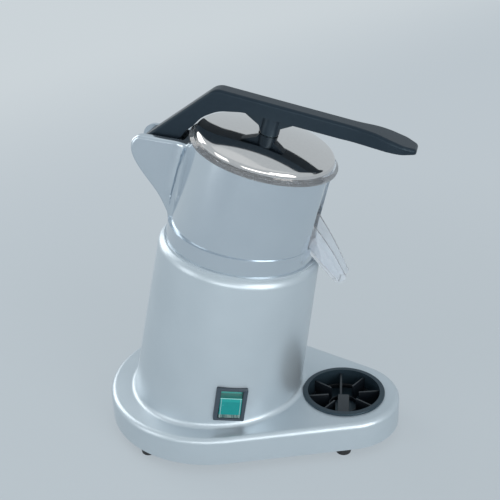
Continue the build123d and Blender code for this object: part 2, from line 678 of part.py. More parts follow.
with BuildPart() as presser:
    with BuildSketch(SIDE):
        with BuildLine():
            p1 = Line((STUD_R + 0.05, LID_TOP - LID_T), (COLLAR_R, LID_TOP - LID_T))
            p0 = Line(p1 @ 1, (12, LID_TOP - LID_T - 0.6))
            p2 = Line(p0 @ 1, (12, STUD_LOW + 2.5))
            p3 = ThreePointArc(p2 @ 1, (26.5, 80.5), (PRESSER_R, 66))
            p4 = Line(p3 @ 1, (PRESSER_R, 60))
            p5 = Line(p4 @ 1, (PRESSER_R - 2.4, 60))
            p6 = Line(p5 @ 1, (PRESSER_R - 2.4, 66))
            p7 = ThreePointArc(p6 @ 1, (24.6, 78.8), (11, STUD_LOW))
            p8 = Line(p7 @ 1, (STUD_R + 0.05, STUD_LOW))
            Line(p8 @ 1, p1 @ 0)
        make_face()
    revolve(axis=DRIVE_AXIS)
    with BuildSketch(DRIVE.offset(62)):
        with PolarLocations(PRESSER_R - 3.5, 8):
            Rectangle(4, 2)
    extrude(amount=10)
finish(presser, "presser")

with BuildPart() as lid_collar:
    add(spin(SIDE, DRIVE_AXIS, [
        (STUD_R + 0.05, LID_TOP), (COLLAR_R, LID_TOP), (COLLAR_R, COLLAR_TOP - 0.3),
        (COLLAR_R - 0.3, COLLAR_TOP), (STUD_R + 0.05, COLLAR_TOP),
    ]))
finish(lid_collar, "lid_collar")

with BuildPart() as lid_stud:
    with BuildSketch(DRIVE.offset(STUD_LOW - 5.2)):
        RegularPolygon(6.5, 6, major_radius=False)
    extrude(amount=4.0)
    with BuildSketch(DRIVE.offset(STUD_LOW - 1.2)):
        Circle(8)
    extrude(amount=1.2)
    with BuildSketch(DRIVE.offset(STUD_LOW - 1.2)):
        Circle(STUD_R)
    extrude(amount=STUD_TOP - STUD_LOW + 1.2)
finish(lid_stud, "lid_stud")

# ---------------------------------------------------------------- lever
BACK_ANGLE = math.radians(49.5)
BACK_X = PIVOT_X - HUB_R * math.sin(BACK_ANGLE)
BACK_Z = PIVOT_Z + HUB_R * math.cos(BACK_ANGLE)
KNEE_X = 6.6 - BOWL_R
KNEE_Z = BACK_Z + (KNEE_X - BACK_X) * math.tan(BACK_ANGLE)
UNDER_X = (34.6 - BOWL_R, 14.1 - BOWL_R, 1.6 - BOWL_R)
with BuildPart() as lever:
    with BuildSketch(SIDE):
        Polygon(
            (PIVOT_X, PIVOT_Z), (BACK_X, BACK_Z), (KNEE_X, KNEE_Z), (87, LID_TOP + 31.6),
            (124, LID_TOP + 27.4), (124, LID_TOP + 24.6), (104, LID_TOP + 21.2),
            (58.9, LID_TOP + 17.4), (UNDER_X[0], LID_TOP + 13.4), (UNDER_X[1], LID_TOP + 7.8),
            (UNDER_X[2], LID_TOP - 1.8), (-BOWL_R - 4.6, LID_EDGE), (-BOWL_R - 9.0, CUP_TOP - 0.7),
            (-BOWL_R - 12.4, CUP_TOP - 8.5), (PIVOT_X + 12.6, PIVOT_Z + 2), align=None,
        )
        fillet([v for v in vertices() if abs(v.X - KNEE_X) < 0.01], 14)
        fillet([v for v in vertices() if abs(v.X - 87) < 0.01], 90)
        for at_x, bend in zip(UNDER_X, (40, 30, 25)):
            fillet([v for v in vertices() if abs(v.X - at_x) < 0.01], bend)
        fillet([v for v in vertices() if abs(v.X - 104) < 0.01 or abs(v.X - 58.9) < 0.01], 60)
    extrude(amount=20, both=True)
    with BuildSketch(DRIVE.offset(40)):
        Polygon(
            (-120, ARM_HALF), (68, ARM_HALF), (97, GRIP_HALF), (110, GRIP_HALF), (120.4, 8.5),
            (120.4, -8.5), (110, -GRIP_HALF), (97, -GRIP_HALF), (68, -ARM_HALF),
            (-120, -ARM_HALF), align=None,
        )
        fillet([v for v in vertices() if abs(v.X - 68) < 0.01], 60)
        fillet([v for v in vertices() if abs(v.X - 97) < 0.01], 25)
        fillet([v for v in vertices() if abs(v.X - 110) < 0.01], 9)
        fillet([v for v in vertices() if abs(v.X - 120.4) < 0.01], 4.5)
    extrude(amount=110, mode=Mode.INTERSECT)
    crest = []
    for e in lever.edges():
        at = DRIVE.to_local_coords(e.center())
        if at.Z > LID_TOP + 26.7 and at.X > KNEE_X + 2 and (abs(at.Y) > 5.5 or at.X > 119):
            crest.append(e)
        elif at.X < KNEE_X + 7 and abs(at.Y) > 1 and at.Z - BACK_Z > 1.1 * (at.X - BACK_X):
            crest.append(e)
    fillet(crest, 2.8)
    # hub between the cheeks
    with BuildSketch(SIDE):
        with Locations((PIVOT_X, PIVOT_Z)):
            Circle(HUB_R)
    extrude(amount=HUB_HALF, both=True)
    # boss and gusset over the lid
    with BuildSketch(SIDE):
        Polygon(
            (-24.0, LID_TOP + 12.7), (-9.2, LID_TOP + 5.7), (-7.0, COLLAR_TOP + 0.8),
            (6.5, COLLAR_TOP + 0.8), (6.9, LID_TOP + 6.3), (19.0, LID_TOP + 14.2),
            (19.0, LID_TOP + 19.2), (-24.0, LID_TOP + 17.2), align=None,
        )
    extrude(amount=5, both=True)
    with BuildSketch(DRIVE.offset(COLLAR_TOP)):
        Circle(8.6)
    extrude(amount=20)
    # bores for the bushes and the stud
    with BuildSketch(SIDE):
        with Locations((PIVOT_X, PIVOT_Z)):
            Circle(PIN_R + 2)
    extrude(amount=HUB_HALF + 1, both=True, mode=Mode.SUBTRACT)
    with BuildSketch(DRIVE.offset(COLLAR_TOP - 1)):
        Circle(STUD_R)
    extrude(amount=STUD_TOP - COLLAR_TOP + 1, mode=Mode.SUBTRACT)
finish(lever, "lever")

with BuildPart() as pivot_pin:
    with BuildSketch(SIDE.offset(0.5 - FORK_HALF)):
        with Locations((PIVOT_X, PIVOT_Z)):
            Circle(PIN_R)
    extrude(amount=2 * FORK_HALF - 4.1)
    chamfer(pivot_pin.edges().filter_by(GeomType.CIRCLE), 0.4)
    with BuildSketch(SIDE.offset(0.5 - FORK_HALF)):
        with Locations((PIVOT_X, PIVOT_Z)):
            Rectangle(1.2, 10)
    extrude(amount=1.2, mode=Mode.SUBTRACT)
finish(pivot_pin, "pivot_pin")

with BuildPart() as lever_bushes:
    for side in (1, -1):
        with BuildSketch(SIDE.offset(side * 7.6)):
            with Locations((PIVOT_X, PIVOT_Z)):
                Circle(PIN_R + 2)
                Circle(PIN_R + 0.04, mode=Mode.SUBTRACT)
        extrude(amount=5.0, both=True)
finish(lever_bushes, "lever_bushes")

# ---------------------------------------------------------------- drip cup and its insert
CUP_LOW = WELL_FLOOR + 3
with BuildPart() as drip_cup:
    with BuildSketch(Plane.XY.offset(CUP_LOW)):
        with Locations((NOSE_X, 0)):
            Circle(WELL_R - 0.3)
    extrude(amount=BASE_TOP - CUP_LOW)
    with BuildSketch(Plane.XY.offset(BASE_TOP)):
        with Locations((NOSE_X, 0)):
            Circle(RING_R)
    extrude(amount=RING_T)
    fillet(drip_cup.faces().sort_by(Axis.Z)[-1].edges(), 0.9)
    with BuildSketch(Plane.XY.offset(CUP_LOW + 1.8)):
        with Locations((NOSE_X, 0)):
            Circle(WELL_R - 2.2)
    extrude(amount=40, mode=Mode.SUBTRACT)
finish(drip_cup, "drip_cup")

INSERT_LOW = CUP_LOW + 1.8
INSERT_TOP = BASE_TOP - 1.5
FIN_OUT = WELL_R - 2.8
FIN_IN = 12.6
BAR_TURN = -82.0
BAR_W = 10.6
BAR_IN = 2.0            # inner end of the finger bar
with BuildPart() as drip_insert:
    # fins standing on the floor of the cup, joined by a low ring and a low hub
    with BuildSketch(Plane.XY.offset(INSERT_LOW)):
        with Locations((NOSE_X, 0)):
            Circle(WELL_R - 2.5)
            Circle(WELL_R - 4.3, mode=Mode.SUBTRACT)
            Circle(FIN_IN + 1.6)
            Circle(FIN_IN, mode=Mode.SUBTRACT)
    extrude(amount=4)
    with BuildSketch(Plane.XY.offset(INSERT_LOW)):
        with Locations((NOSE_X, 0)):
            for turn in (-26.5, 18.5, 63.5, 153.5, 198.5, 243.5):
                with PolarLocations((FIN_OUT + FIN_IN) / 2 + 0.2, 1, start_angle=turn):
                    Rectangle(FIN_OUT - FIN_IN + 0.4, 1.6)
            # web from the finger bar to the far side
            with PolarLocations(FIN_OUT / 2 - 1, 1, start_angle=98.5):
                with Locations((0, 2.7)):
                    Rectangle(FIN_OUT + 1.6, 2.2)
    extrude(amount=INSERT_TOP - INSERT_LOW)
    # finger bar, open underneath
    with BuildSketch(Plane.XY.offset(INSERT_LOW)):
        with Locations((NOSE_X, 0)):
            with PolarLocations((FIN_OUT + BAR_IN) / 2, 1, start_angle=BAR_TURN):
                Rectangle(FIN_OUT - BAR_IN, BAR_W)
    extrude(amount=INSERT_TOP - INSERT_LOW)
    with BuildSketch(Plane.XY.offset(INSERT_LOW)):
        with Locations((NOSE_X, 0)):
            with PolarLocations((FIN_OUT + BAR_IN) / 2, 1, start_angle=BAR_TURN):
                Rectangle(FIN_OUT - BAR_IN - 3.2, BAR_W - 3.2)
    extrude(amount=INSERT_TOP - INSERT_LOW - 1.6, mode=Mode.SUBTRACT)
finish(drip_insert, "drip_insert")

# ---------------------------------------------------------------- rocker switch
ROCK_R = WINDOW_H / 2 - 0.5
ROCK_Z = -3.0
ROCK_HALF = WINDOW_W / 2 - 0.3
SW_AXIS = Axis(SW_PT, SW_N)
with BuildPart() as switch_body:
    with BuildSketch(SWITCH.offset(SEAT)):
        RectangleRounded(BEZEL_W, BEZEL_H, 1.2)
    extrude(amount=4.1)
    chamfer(switch_body.faces().sort_by(SW_AXIS)[-1].edges(), 0.6)
    with BuildSketch(SWITCH.offset(SEAT)):
        Rectangle(WINDOW_W + 2 * CASE_WALL, WINDOW_H + 2 * CASE_WALL)
    extrude(amount=-22)
    with BuildSketch(SWITCH.offset(-18)):
        Rectangle(WINDOW_W, WINDOW_H)
    extrude(amount=30, mode=Mode.SUBTRACT)
    chamfer(switch_body.faces().sort_by(SW_AXIS)[-1].inner_wires()[0].edges(), 0.6)
    with BuildSketch(SW_SIDE):
        with Locations((0, ROCK_Z)):
            Circle(1.55)
    extrude(amount=WINDOW_W / 2 + 0.7, both=True, mode=Mode.SUBTRACT)
finish(switch_body, "switch_body")

with BuildPart() as switch_rocker:
    # long face pressed out at the foot, short face tilted in at the head
    with BuildSketch(SW_SIDE):
        Polygon((-20, -10), (20, -10), (20, -5.6), (6.3, 0.9), (-20, 5.2), align=None)
    extrude(amount=ROCK_HALF, both=True)
    with BuildSketch(SW_SIDE):
        with Locations((0, ROCK_Z)):
            Circle(ROCK_R)
    extrude(amount=20, both=True, mode=Mode.INTERSECT)
    with BuildSketch(SW_SIDE):
        Polygon((-8, -11), (8, -11), (3, -6.5), (-3, -6.5), align=None)
    extrude(amount=20, both=True, mode=Mode.SUBTRACT)
    with BuildSketch(SW_SIDE):
        with Locations((0, ROCK_Z)):
            Circle(1.5)
    extrude(amount=WINDOW_W / 2 + 0.5, both=True)
finish(switch_rocker, "switch_rocker")

with BuildPart() as switch_tabs:
    with BuildSketch(SWITCH.offset(SEAT - 22)):
        with GridLocations(10, 14, 2, 2):
            Rectangle(6.3, 0.8)
    extrude(amount=-8)
finish(switch_tabs, "switch_tabs")

# ---------------------------------------------------------------- motor
STACK_TOP = -40.0
STACK_LOW = STACK_TOP - STACK_L
DISC_LOW = STACK_LOW - 20
BOLT_CIRCLE = 46.5
with BuildPart() as motor_shaft:
    add(spin(SIDE, DRIVE_AXIS, [
        (0, DISC_LOW - 3), (SHAFT_R, DISC_LOW - 3), (SHAFT_R, DISC_LOW + 8.1),
        (SHAFT_R + 1.5, DISC_LOW + 8.1), (SHAFT_R + 1.5, MOTOR_TOP - 14.1),
        (SHAFT_R, MOTOR_TOP - 14.1),
        (SHAFT_R, SHAFT_TOP - 1), (SHAFT_R - 1, SHAFT_TOP), (0, SHAFT_TOP),
    ]))
    with BuildSketch(Plane(origin=DRIVE.from_local_coords(Vector(-11, 0, 43)),
                           x_dir=(0, 1, 0), z_dir=DRIVE.x_dir)):
        Circle(2)
    extrude(amount=22, mode=Mode.SUBTRACT)
finish(motor_shaft, "motor_shaft")

with BuildPart() as drive_pin:
    with BuildSketch(Plane(origin=DRIVE.from_local_coords(Vector(-9.5, 0, 43)),
                           x_dir=(0, 1, 0), z_dir=DRIVE.x_dir)):
        Circle(2)
    extrude(amount=19)
    chamfer(drive_pin.edges().filter_by(GeomType.CIRCLE), 0.4)
finish(drive_pin, "drive_pin")

with BuildPart() as shaft_seal:
    add(spin(SIDE, DRIVE_AXIS, [
        (SHAFT_R, 26.6), (8.2, 26.6), (10.8, 26.3), (11.2, 26.7), (8.6, 27.6), (8.4, 28.2),
        (9.4, 28.6), (9.4, 31.0), (SHAFT_R, 31.0),
    ]))
finish(shaft_seal, "shaft_seal")

with BuildPart() as motor_upper_shield:
    add(spin(SIDE, DRIVE_AXIS, [
        (8, MOTOR_TOP), (MOTOR_R, MOTOR_TOP), (MOTOR_R, STACK_TOP), (43.5, STACK_TOP),
        (43.5, MOTOR_TOP - 6), (20, MOTOR_TOP - 6), (20, MOTOR_TOP - 17), (16, MOTOR_TOP - 17),
        (16, MOTOR_TOP - 4), (8, MOTOR_TOP - 4),
    ]))
    with BuildSketch(DRIVE.offset(MOTOR_TOP - 8)):
        with GridLocations(59.4, 59.4, 2, 2):
            Circle(2.5)
    extrude(amount=10, mode=Mode.SUBTRACT)
    with BuildSketch(DRIVE.offset(MOTOR_TOP - 3)):
        with PolarLocations(BOLT_CIRCLE, 4):
            Circle(2.0)
    extrude(amount=-30, mode=Mode.SUBTRACT)
    # air slots in the skirt
    with BuildSketch(DRIVE.offset(MOTOR_TOP - 18)):
        with PolarLocations(47, 12, start_angle=15):
            Rectangle(12, 5)
    extrude(amount=8, mode=Mode.SUBTRACT)
finish(motor_upper_shield, "motor_upper_shield")

with BuildPart() as motor_lower_shield:
    add(spin(SIDE, DRIVE_AXIS, [
        (8, DISC_LOW - 5), (20, DISC_LOW - 5), (20, DISC_LOW), (MOTOR_R, DISC_LOW),
        (MOTOR_R, STACK_LOW), (43.5, STACK_LOW), (43.5, DISC_LOW + 5), (20, DISC_LOW + 5),
        (20, DISC_LOW + 8), (16, DISC_LOW + 8), (16, DISC_LOW - 2), (8, DISC_LOW - 2),
    ]))
    with BuildSketch(DRIVE.offset(DISC_LOW - 1)):
        with PolarLocations(BOLT_CIRCLE, 4):
            Circle(2.3)
    extrude(amount=30, mode=Mode.SUBTRACT)
    with BuildSketch(DRIVE.offset(DISC_LOW - 1)):
        with PolarLocations(32, 8, start_angle=22.5):
            SlotOverall(14, 6)
    extrude(amount=8, mode=Mode.SUBTRACT)
finish(motor_lower_shield, "motor_lower_shield")

with BuildPart() as motor_stator:
    with BuildSketch(DRIVE.offset(STACK_LOW)):
        Circle(MOTOR_R)
        Circle(27.5, mode=Mode.SUBTRACT)
        with PolarLocations(BOLT_CIRCLE, 4):
            Circle(2.3, mode=Mode.SUBTRACT)
    extrude(amount=STACK_L)
finish(motor_stator, "motor_stator")

with BuildPart() as motor_windings:
    for low, high in ((STACK_TOP, STACK_TOP + 12), (STACK_LOW - 12, STACK_LOW)):
        add(spin(SIDE, DRIVE_AXIS, [
            (32, low), (40, low), (42, low + 3), (42, high - 3), (40, high), (32, high),
            (30, high - 3), (30, low + 3),
        ]))
finish(motor_windings, "motor_windings")

with BuildPart() as motor_rotor:
    add(spin(SIDE, DRIVE_AXIS, [
        (SHAFT_R + 1.5, STACK_LOW), (20, STACK_LOW), (20, STACK_LOW - 4), (27.1, STACK_LOW - 4),
        (27.1, STACK_TOP + 4), (20, STACK_TOP + 4), (20, STACK_TOP), (SHAFT_R + 1.5, STACK_TOP),
    ]))
finish(motor_rotor, "motor_rotor")

with BuildPart() as motor_bearings:
    for low in (MOTOR_TOP - 14, DISC_LOW - 2):
        add(spin(SIDE, DRIVE_AXIS, [
            (SHAFT_R + 0.04, low), (9.2, low), (9.2, low + 0.8), (12.8, low + 0.8), (12.8, low),
            (16, low), (16, low + 10), (12.8, low + 10), (12.8, low + 9.2), (9.2, low + 9.2),
            (9.2, low + 10), (SHAFT_R + 0.04, low + 10),
        ]))
finish(motor_bearings, "motor_bearings")

with BuildPart() as motor_tie_bolts:
    with BuildSketch(DRIVE.offset(DISC_LOW - 4)):
        with PolarLocations(BOLT_CIRCLE, 4):
            Circle(3.4)
    extrude(amount=4)
    with BuildSketch(DRIVE.offset(DISC_LOW)):
        with PolarLocations(BOLT_CIRCLE, 4):
            Circle(2.0)
    extrude(amount=MOTOR_TOP - 3 - DISC_LOW)
    with BuildSketch(DRIVE.offset(DISC_LOW - 4)):
        with PolarLocations(BOLT_CIRCLE, 4):
            RegularPolygon(1.8, 6)
    extrude(amount=2, mode=Mode.SUBTRACT)
finish(motor_tie_bolts, "motor_tie_bolts")

# ---------------------------------------------------------------- electrical parts in the base
FLOOR_Z = BASE_BOTTOM + PLATE_T
CAP_Z = FLOOR_Z + 1.4 + CAP_R
with BuildPart() as capacitor:
    with BuildSketch(Plane.XZ.offset(-CAP_LEN / 2)):
        with Locations((CAP_X, CAP_Z)):
            Circle(CAP_R)
    extrude(amount=CAP_LEN)
    fillet(capacitor.edges().filter_by(GeomType.CIRCLE), 1.5)
    with BuildSketch(Plane.XZ.offset(CAP_LEN / 2 - 1)):
        with Locations((CAP_X, CAP_Z)):
            with GridLocations(10, 10, 2, 1):
                Rectangle(0.8, 6.3)
    extrude(amount=9)
finish(capacitor, "capacitor")

with BuildPart() as capacitor_clip:
    with BuildSketch(Plane.XZ.offset(-8)):
        with Locations((CAP_X, CAP_Z)):
            Circle(CAP_R + 1.4)
        with Locations((CAP_X, FLOOR_Z + 0.7)):
            Rectangle(2 * CLIP_HALF + 12, 1.4)
        with Locations((CAP_X, CAP_Z)):
            Circle(CAP_R, mode=Mode.SUBTRACT)
        with Locations((CAP_X, FLOOR_Z - 5)):
            Rectangle(80, 10, mode=Mode.SUBTRACT)
    extrude(amount=16)
    with BuildSketch(Plane.XY.offset(FLOOR_Z)):
        with Locations((CAP_X - CLIP_HALF, 0), (CAP_X + CLIP_HALF, 0)):
            Circle(2.0)
    extrude(amount=3, mode=Mode.SUBTRACT)
finish(capacitor_clip, "capacitor_clip")

with BuildPart() as clip_screws:
    with BuildSketch(Plane.XY.offset(BASE_BOTTOM)):
        with Locations((CAP_X - CLIP_HALF, 0), (CAP_X + CLIP_HALF, 0)):
            Circle(2.0)
    extrude(amount=PLATE_T + 1.4)
    with BuildSketch(Plane.XY.offset(FLOOR_Z + 1.4)):
        with Locations((CAP_X - CLIP_HALF, 0), (CAP_X + CLIP_HALF, 0)):
            Circle(3.6)
    extrude(amount=2.4)
finish(clip_screws, "clip_screws")

with BuildPart() as terminal_block:
    with BuildSketch(Plane.XY.offset(FLOOR_Z)):
        with Locations((TERM_X, TERM_Y)):
            Rectangle(42, 18)
    extrude(amount=15)
    with BuildSketch(Plane.XY.offset(FLOOR_Z + 5)):
        with Locations((TERM_X, TERM_Y)):
            with GridLocations(10, 10, 4, 1):
                Circle(3)
    extrude(amount=12, mode=Mode.SUBTRACT)
finish(terminal_block, "terminal_block")

with BuildPart() as terminal_screws:
    with BuildSketch(Plane.XY.offset(FLOOR_Z + 5)):
        with Locations((TERM_X, TERM_Y)):
            with GridLocations(10, 10, 4, 1):
                Circle(3)
    extrude(amount=5)
    with BuildSketch(Plane.XY.offset(FLOOR_Z + 8.8)):
        with Locations((TERM_X, TERM_Y)):
            with GridLocations(10, 10, 4, 1):
                Rectangle(8, 0.9)
    extrude(amount=3, mode=Mode.SUBTRACT)
finish(terminal_screws, "terminal_screws")

# ---------------------------------------------------------------- cord gland at the back
with BuildPart() as cord_gland:
    with BuildSketch(GLAND):
        RegularPolygon(9.5, 6)
    extrude(amount=4)
    with BuildSketch(GLAND.offset(4)):
        Circle(7.4)
    extrude(amount=3)
    fillet(cord_gland.faces().sort_by(Axis(GLAND.origin, GLAND.z_dir))[-1].edges(), 1.5)
    with BuildSketch(GLAND):
        Circle(GLAND_R)
    extrude(amount=-10)
    with BuildSketch(GLAND.offset(10)):
        Circle(3.6)
    extrude(amount=-24, mode=Mode.SUBTRACT)
finish(cord_gland, "cord_gland")

with BuildPart() as gland_nut:
    with BuildSketch(GLAND.offset(0.6 - BASE_WALL)):
        RegularPolygon(8.8, 6)
        Circle(GLAND_R, mode=Mode.SUBTRACT)
    extrude(amount=-4)
finish(gland_nut, "gland_nut")
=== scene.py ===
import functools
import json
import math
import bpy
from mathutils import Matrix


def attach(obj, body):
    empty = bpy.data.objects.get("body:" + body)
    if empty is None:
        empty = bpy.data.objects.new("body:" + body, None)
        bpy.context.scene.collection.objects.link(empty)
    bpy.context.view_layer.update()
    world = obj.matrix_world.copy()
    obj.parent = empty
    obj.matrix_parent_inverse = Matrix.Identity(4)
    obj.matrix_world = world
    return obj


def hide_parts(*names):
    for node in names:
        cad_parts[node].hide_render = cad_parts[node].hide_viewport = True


bl_info = {
    "name": "Citrus Press",
    "version": (1, 0, 0),
    "blender": (4, 5, 0),
    "location": "View3D > Sidebar > Citrus Press",
    "description": "Finishes of a lever citrus press on a pale floor in soft light",
    "category": "Object",
}

import bmesh
import bpy
import numpy as np
from mathutils import Matrix, Vector

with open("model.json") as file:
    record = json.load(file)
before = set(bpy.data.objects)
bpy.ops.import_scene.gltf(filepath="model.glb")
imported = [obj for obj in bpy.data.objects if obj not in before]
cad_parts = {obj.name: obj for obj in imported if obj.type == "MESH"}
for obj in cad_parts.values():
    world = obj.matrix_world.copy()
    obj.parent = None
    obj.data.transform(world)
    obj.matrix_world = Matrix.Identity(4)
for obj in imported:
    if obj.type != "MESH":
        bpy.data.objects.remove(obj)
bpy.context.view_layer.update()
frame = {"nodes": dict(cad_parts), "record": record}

# ---------------------------------------------------------------- frames of the press
SEAM = Vector((-0.0091, 0, 0.1855))  # middle of the joint between tower and bowl holder
TOWER_LEAN, DRIVE_LEAN = 10.4, 15.8  # degrees, towards the spout
WELL_X = 0.08569  # upright axis of the drip cup
SWITCH_SIDE = math.radians(-69)  # place of the switch round the tower
SWITCH_OUT, SWITCH_DROP = 0.07845, 0.12322  # from the tower's axis, and below the seam
TAPER = math.atan(7.4 / 153.2)  # the tower's wall against its axis


def leaning(degrees):
    """Frame at the joint between tower and bowl holder, leaning towards the spout."""
    return Matrix.Translation(SEAM) @ Matrix.Rotation(math.radians(degrees), 4, "Y")


def switch_frame():
    """Frame on the switch, x across it, y up the wall and z out of it."""
    x, y, level = math.cos(SWITCH_SIDE), math.sin(SWITCH_SIDE), math.cos(TAPER)
    out = Vector((x * level, y * level, math.sin(TAPER)))
    across = Vector((-y, x, 0))
    wall = Matrix((across, out.cross(across), out)).transposed().to_4x4()
    wall.translation = Vector((x * SWITCH_OUT, y * SWITCH_OUT, -SWITCH_DROP))
    return TOWER @ wall


TOWER = leaning(TOWER_LEAN)
DRIVE = leaning(DRIVE_LEAN)
CUP = Matrix.Translation((WELL_X, 0, 0))
SWITCH = switch_frame()
MM = Matrix.Scale(0.001, 4)


# ---------------------------------------------------------------- shader maths
class Wire:
    """A socket's output that takes part in Python arithmetic."""

    def __init__(self, owner, out):
        self.owner = owner
        self.out = out

    def _maths(self, operation, *terms):
        node = self.owner.tree.nodes.new("ShaderNodeMath")
        node.operation = operation
        for socket, term in zip(node.inputs, terms):
            if isinstance(term, Wire):
                self.owner.tree.links.new(term.out, socket)
            else:
                socket.default_value = term
        return Wire(self.owner, node.outputs[0])

    def __add__(self, other):
        return self._maths("ADD", self, other)

    __radd__ = __add__

    def __mul__(self, other):
        return self._maths("MULTIPLY", self, other)

    __rmul__ = __mul__

    def __sub__(self, other):
        return self._maths("SUBTRACT", self, other)

    def over(self, level):
        return self._maths("GREATER_THAN", self, level)

    def under(self, level):
        return self._maths("LESS_THAN", self, level)

    def size(self):
        return self._maths("ABSOLUTE", self)

    def root(self):
        return self._maths("SQRT", self)

    def near(self, level, reach):
        """1 within reach of a level, 0 elsewhere."""
        return (self - level).size().under(reach)

    def between(self, low, high):
        """0 below low, 1 above high, smooth between."""
        return self.owner.node(
            "MapRange",
            {"Value": self, "From Min": low, "From Max": high},
            {"interpolation_type": "SMOOTHSTEP"},
            "Result",
        )


class Nodes:
    """A node tree and the few calls that build it."""

    prefix = "ShaderNode"

    def __init__(self, tree):
        self.tree = tree

    def node(self, kind, sockets=(), settings=(), out=0):
        made = self.tree.nodes.new(kind if "Node" in kind else self.prefix + kind)
        for name, value in dict(settings).items():
            setattr(made, name, value)
        for name, value in dict(sockets).items():
            if isinstance(value, Wire):
                self.tree.links.new(value.out, made.inputs[name])
            else:
                made.inputs[name].default_value = value
        return Wire(self, made.outputs[out])

    def seen(self):
        """1 for rays that come from the camera or off a shiny or clear surface."""
        camera, shiny, through = (
            self.node("LightPath", out="Is " + kind + " Ray")
            for kind in ("Camera", "Glossy", "Transmission")
        )
        return (camera + shiny + through).over(0.5)

    def blend(self, share, first, second, end):
        """Mixes two shaders and sends them to the output node."""
        mixed = self.tree.nodes.new("ShaderNodeMixShader")
        for index, wire in enumerate((share, first, second)):
            self.tree.links.new(wire.out, mixed.inputs[index])
        self.tree.links.new(mixed.outputs[0], self.tree.nodes[end].inputs[0])


class Finish(Nodes):
    """A material and the few calls that build its nodes."""

    def __init__(self, name, **fixed):
        self.material = bpy.data.materials.new(name)
        self.material.use_nodes = True
        super().__init__(self.material.node_tree)
        self.shader = self.tree.nodes["Principled BSDF"]
        for socket, value in fixed.items():
            self.shader.inputs[socket.replace("_", " ")].default_value = value

    def place(self, stretch=(1, 1, 1)):
        """Object coordinates in millimetres, stretched along the axes."""
        where = self.node("TexCoord", out="Object")
        scale = tuple(1000 * share for share in stretch)
        return self.node("Mapping", {"Vector": where, "Scale": scale})

    def axes(self, vector):
        parts = self.tree.nodes.new("ShaderNodeSeparateXYZ")
        self.tree.links.new(vector.out, parts.inputs[0])
        return [Wire(self, out) for out in parts.outputs]

    def noise(self, scale, detail=2.0, vector=None):
        """Noise from 0 to 1 whose spots are about 1/scale mm wide."""
        spots = {"Vector": vector or self.place(), "Scale": scale, "Detail": detail}
        return self.node("TexNoise", spots)

    def mix(self, share, first, second):
        """Colour between two colours."""
        made = self.tree.nodes.new("ShaderNodeMix")
        made.data_type = "RGBA"
        for index, value in ((0, share), (6, first), (7, second)):
            if isinstance(value, Wire):
                self.tree.links.new(value.out, made.inputs[index])
            else:
                made.inputs[index].default_value = value
        return Wire(self, made.outputs[2])

    def along(self, place, axis):
        """Distance along one axis of a frame, in millimetres."""
        way = place.col[axis].to_3d()
        x, y, z = self.axes(self.place())
        return x * way.x + y * way.y + z * way.z - 1000 * way.dot(place.translation)

    def drive(self, socket, wire):
        self.tree.links.new(wire.out, self.shader.inputs[socket])

    def bump(self, height, strength):
        """Relief a tenth of a millimetre deep."""
        relief = {"Height": height, "Strength": strength, "Distance": 0.0001}
        self.drive("Normal", self.node("Bump", relief))

    def mottle(self, spots, dark, light, rough, spread, relief=0.0):
        """Colour, roughness and relief that wander with the spots of a noise."""
        self.drive("Base Color", self.mix(spots, colour(*dark), colour(*light)))
        self.drive("Roughness", rough + spread * spots)
        if relief:
            self.bump(spots, relief)
        return self


def colour(red, green, blue):
    return (red, green, blue, 1.0)


# ---------------------------------------------------------------- finishes
@functools.cache
def finish(make):
    """The material of a finish, made once and named after its function."""
    return make(make.__name__).material


def silver_enamel(name):
    """Satin silver enamel with a fine metal flake."""
    paint = Finish(name, Metallic=0.6, Coat_Weight=0.2, Coat_Roughness=0.2)
    flake = paint.noise(2.2, 1.0)
    cloud = paint.noise(0.03)
    spots = flake * 0.35 + cloud * 0.65
    base = paint.mix(spots, colour(0.50, 0.57, 0.62), colour(0.58, 0.65, 0.70))
    paint.drive("Base Color", base)
    paint.drive("Roughness", 0.35 + 0.06 * flake)
    paint.bump(flake, 0.06)
    return paint


def holder_lacquer(name):
    """Polished casting under clear lacquer."""
    metal = Finish(name, Metallic=0.85, Coat_Weight=0.5, Coat_Roughness=0.05)
    grain = metal.noise(0.9, 3.0)
    cloud = metal.noise(0.025)
    spots = grain * 0.3 + cloud * 0.7
    base = metal.mix(spots, colour(0.52, 0.59, 0.65), colour(0.60, 0.67, 0.73))
    metal.drive("Base Color", base)
    metal.drive("Roughness", 0.16 + 0.05 * cloud)
    metal.bump(grain, 0.02)
    return metal


def polished_steel(name):
    """Mirror-polished sheet of the lid."""
    steel = Finish(name, Metallic=1.0)
    swirl = steel.noise(0.35, 3.0)
    return steel.mottle(swirl, (0.68, 0.655, 0.64), (0.75, 0.72, 0.70), 0.05, 0.04)


def satin_steel(name):
    """Sheet steel with the grain of its rolling."""
    steel = Finish(name, Metallic=1.0)
    grain = steel.noise(1.0, 3.0, steel.place((0.15, 2.5, 1)))
    return steel.mottle(grain, (0.48, 0.48, 0.48), (0.60, 0.60, 0.60), 0.26, 0.14)


def black_powder(name):
    """Black powder coat of the lever with a fine orange peel."""
    coat = Finish(name, Specular_IOR_Level=0.42, Specular_Tint=colour(0.62, 0.84, 1.0))
    peel = coat.noise(1.6)
    soft = coat.noise(0.2)
    base = coat.mix(soft, colour(0.006, 0.011, 0.018), colour(0.010, 0.017, 0.026))
    coat.drive("Base Color", base)
    coat.drive("Roughness", 0.34 + 0.1 * peel)
    coat.bump(peel, 0.15)
    return coat


def black_plastic(name):
    """Blue-black plastic of the drip cup and the lid's collar."""
    plastic = Finish(name, Specular_Tint=colour(0.65, 0.86, 1.0))
    grain = plastic.noise(3.0)
    return plastic.mottle(
        grain, (0.016, 0.029, 0.040), (0.022, 0.037, 0.050), 0.26, 0.1, 0.05
    )


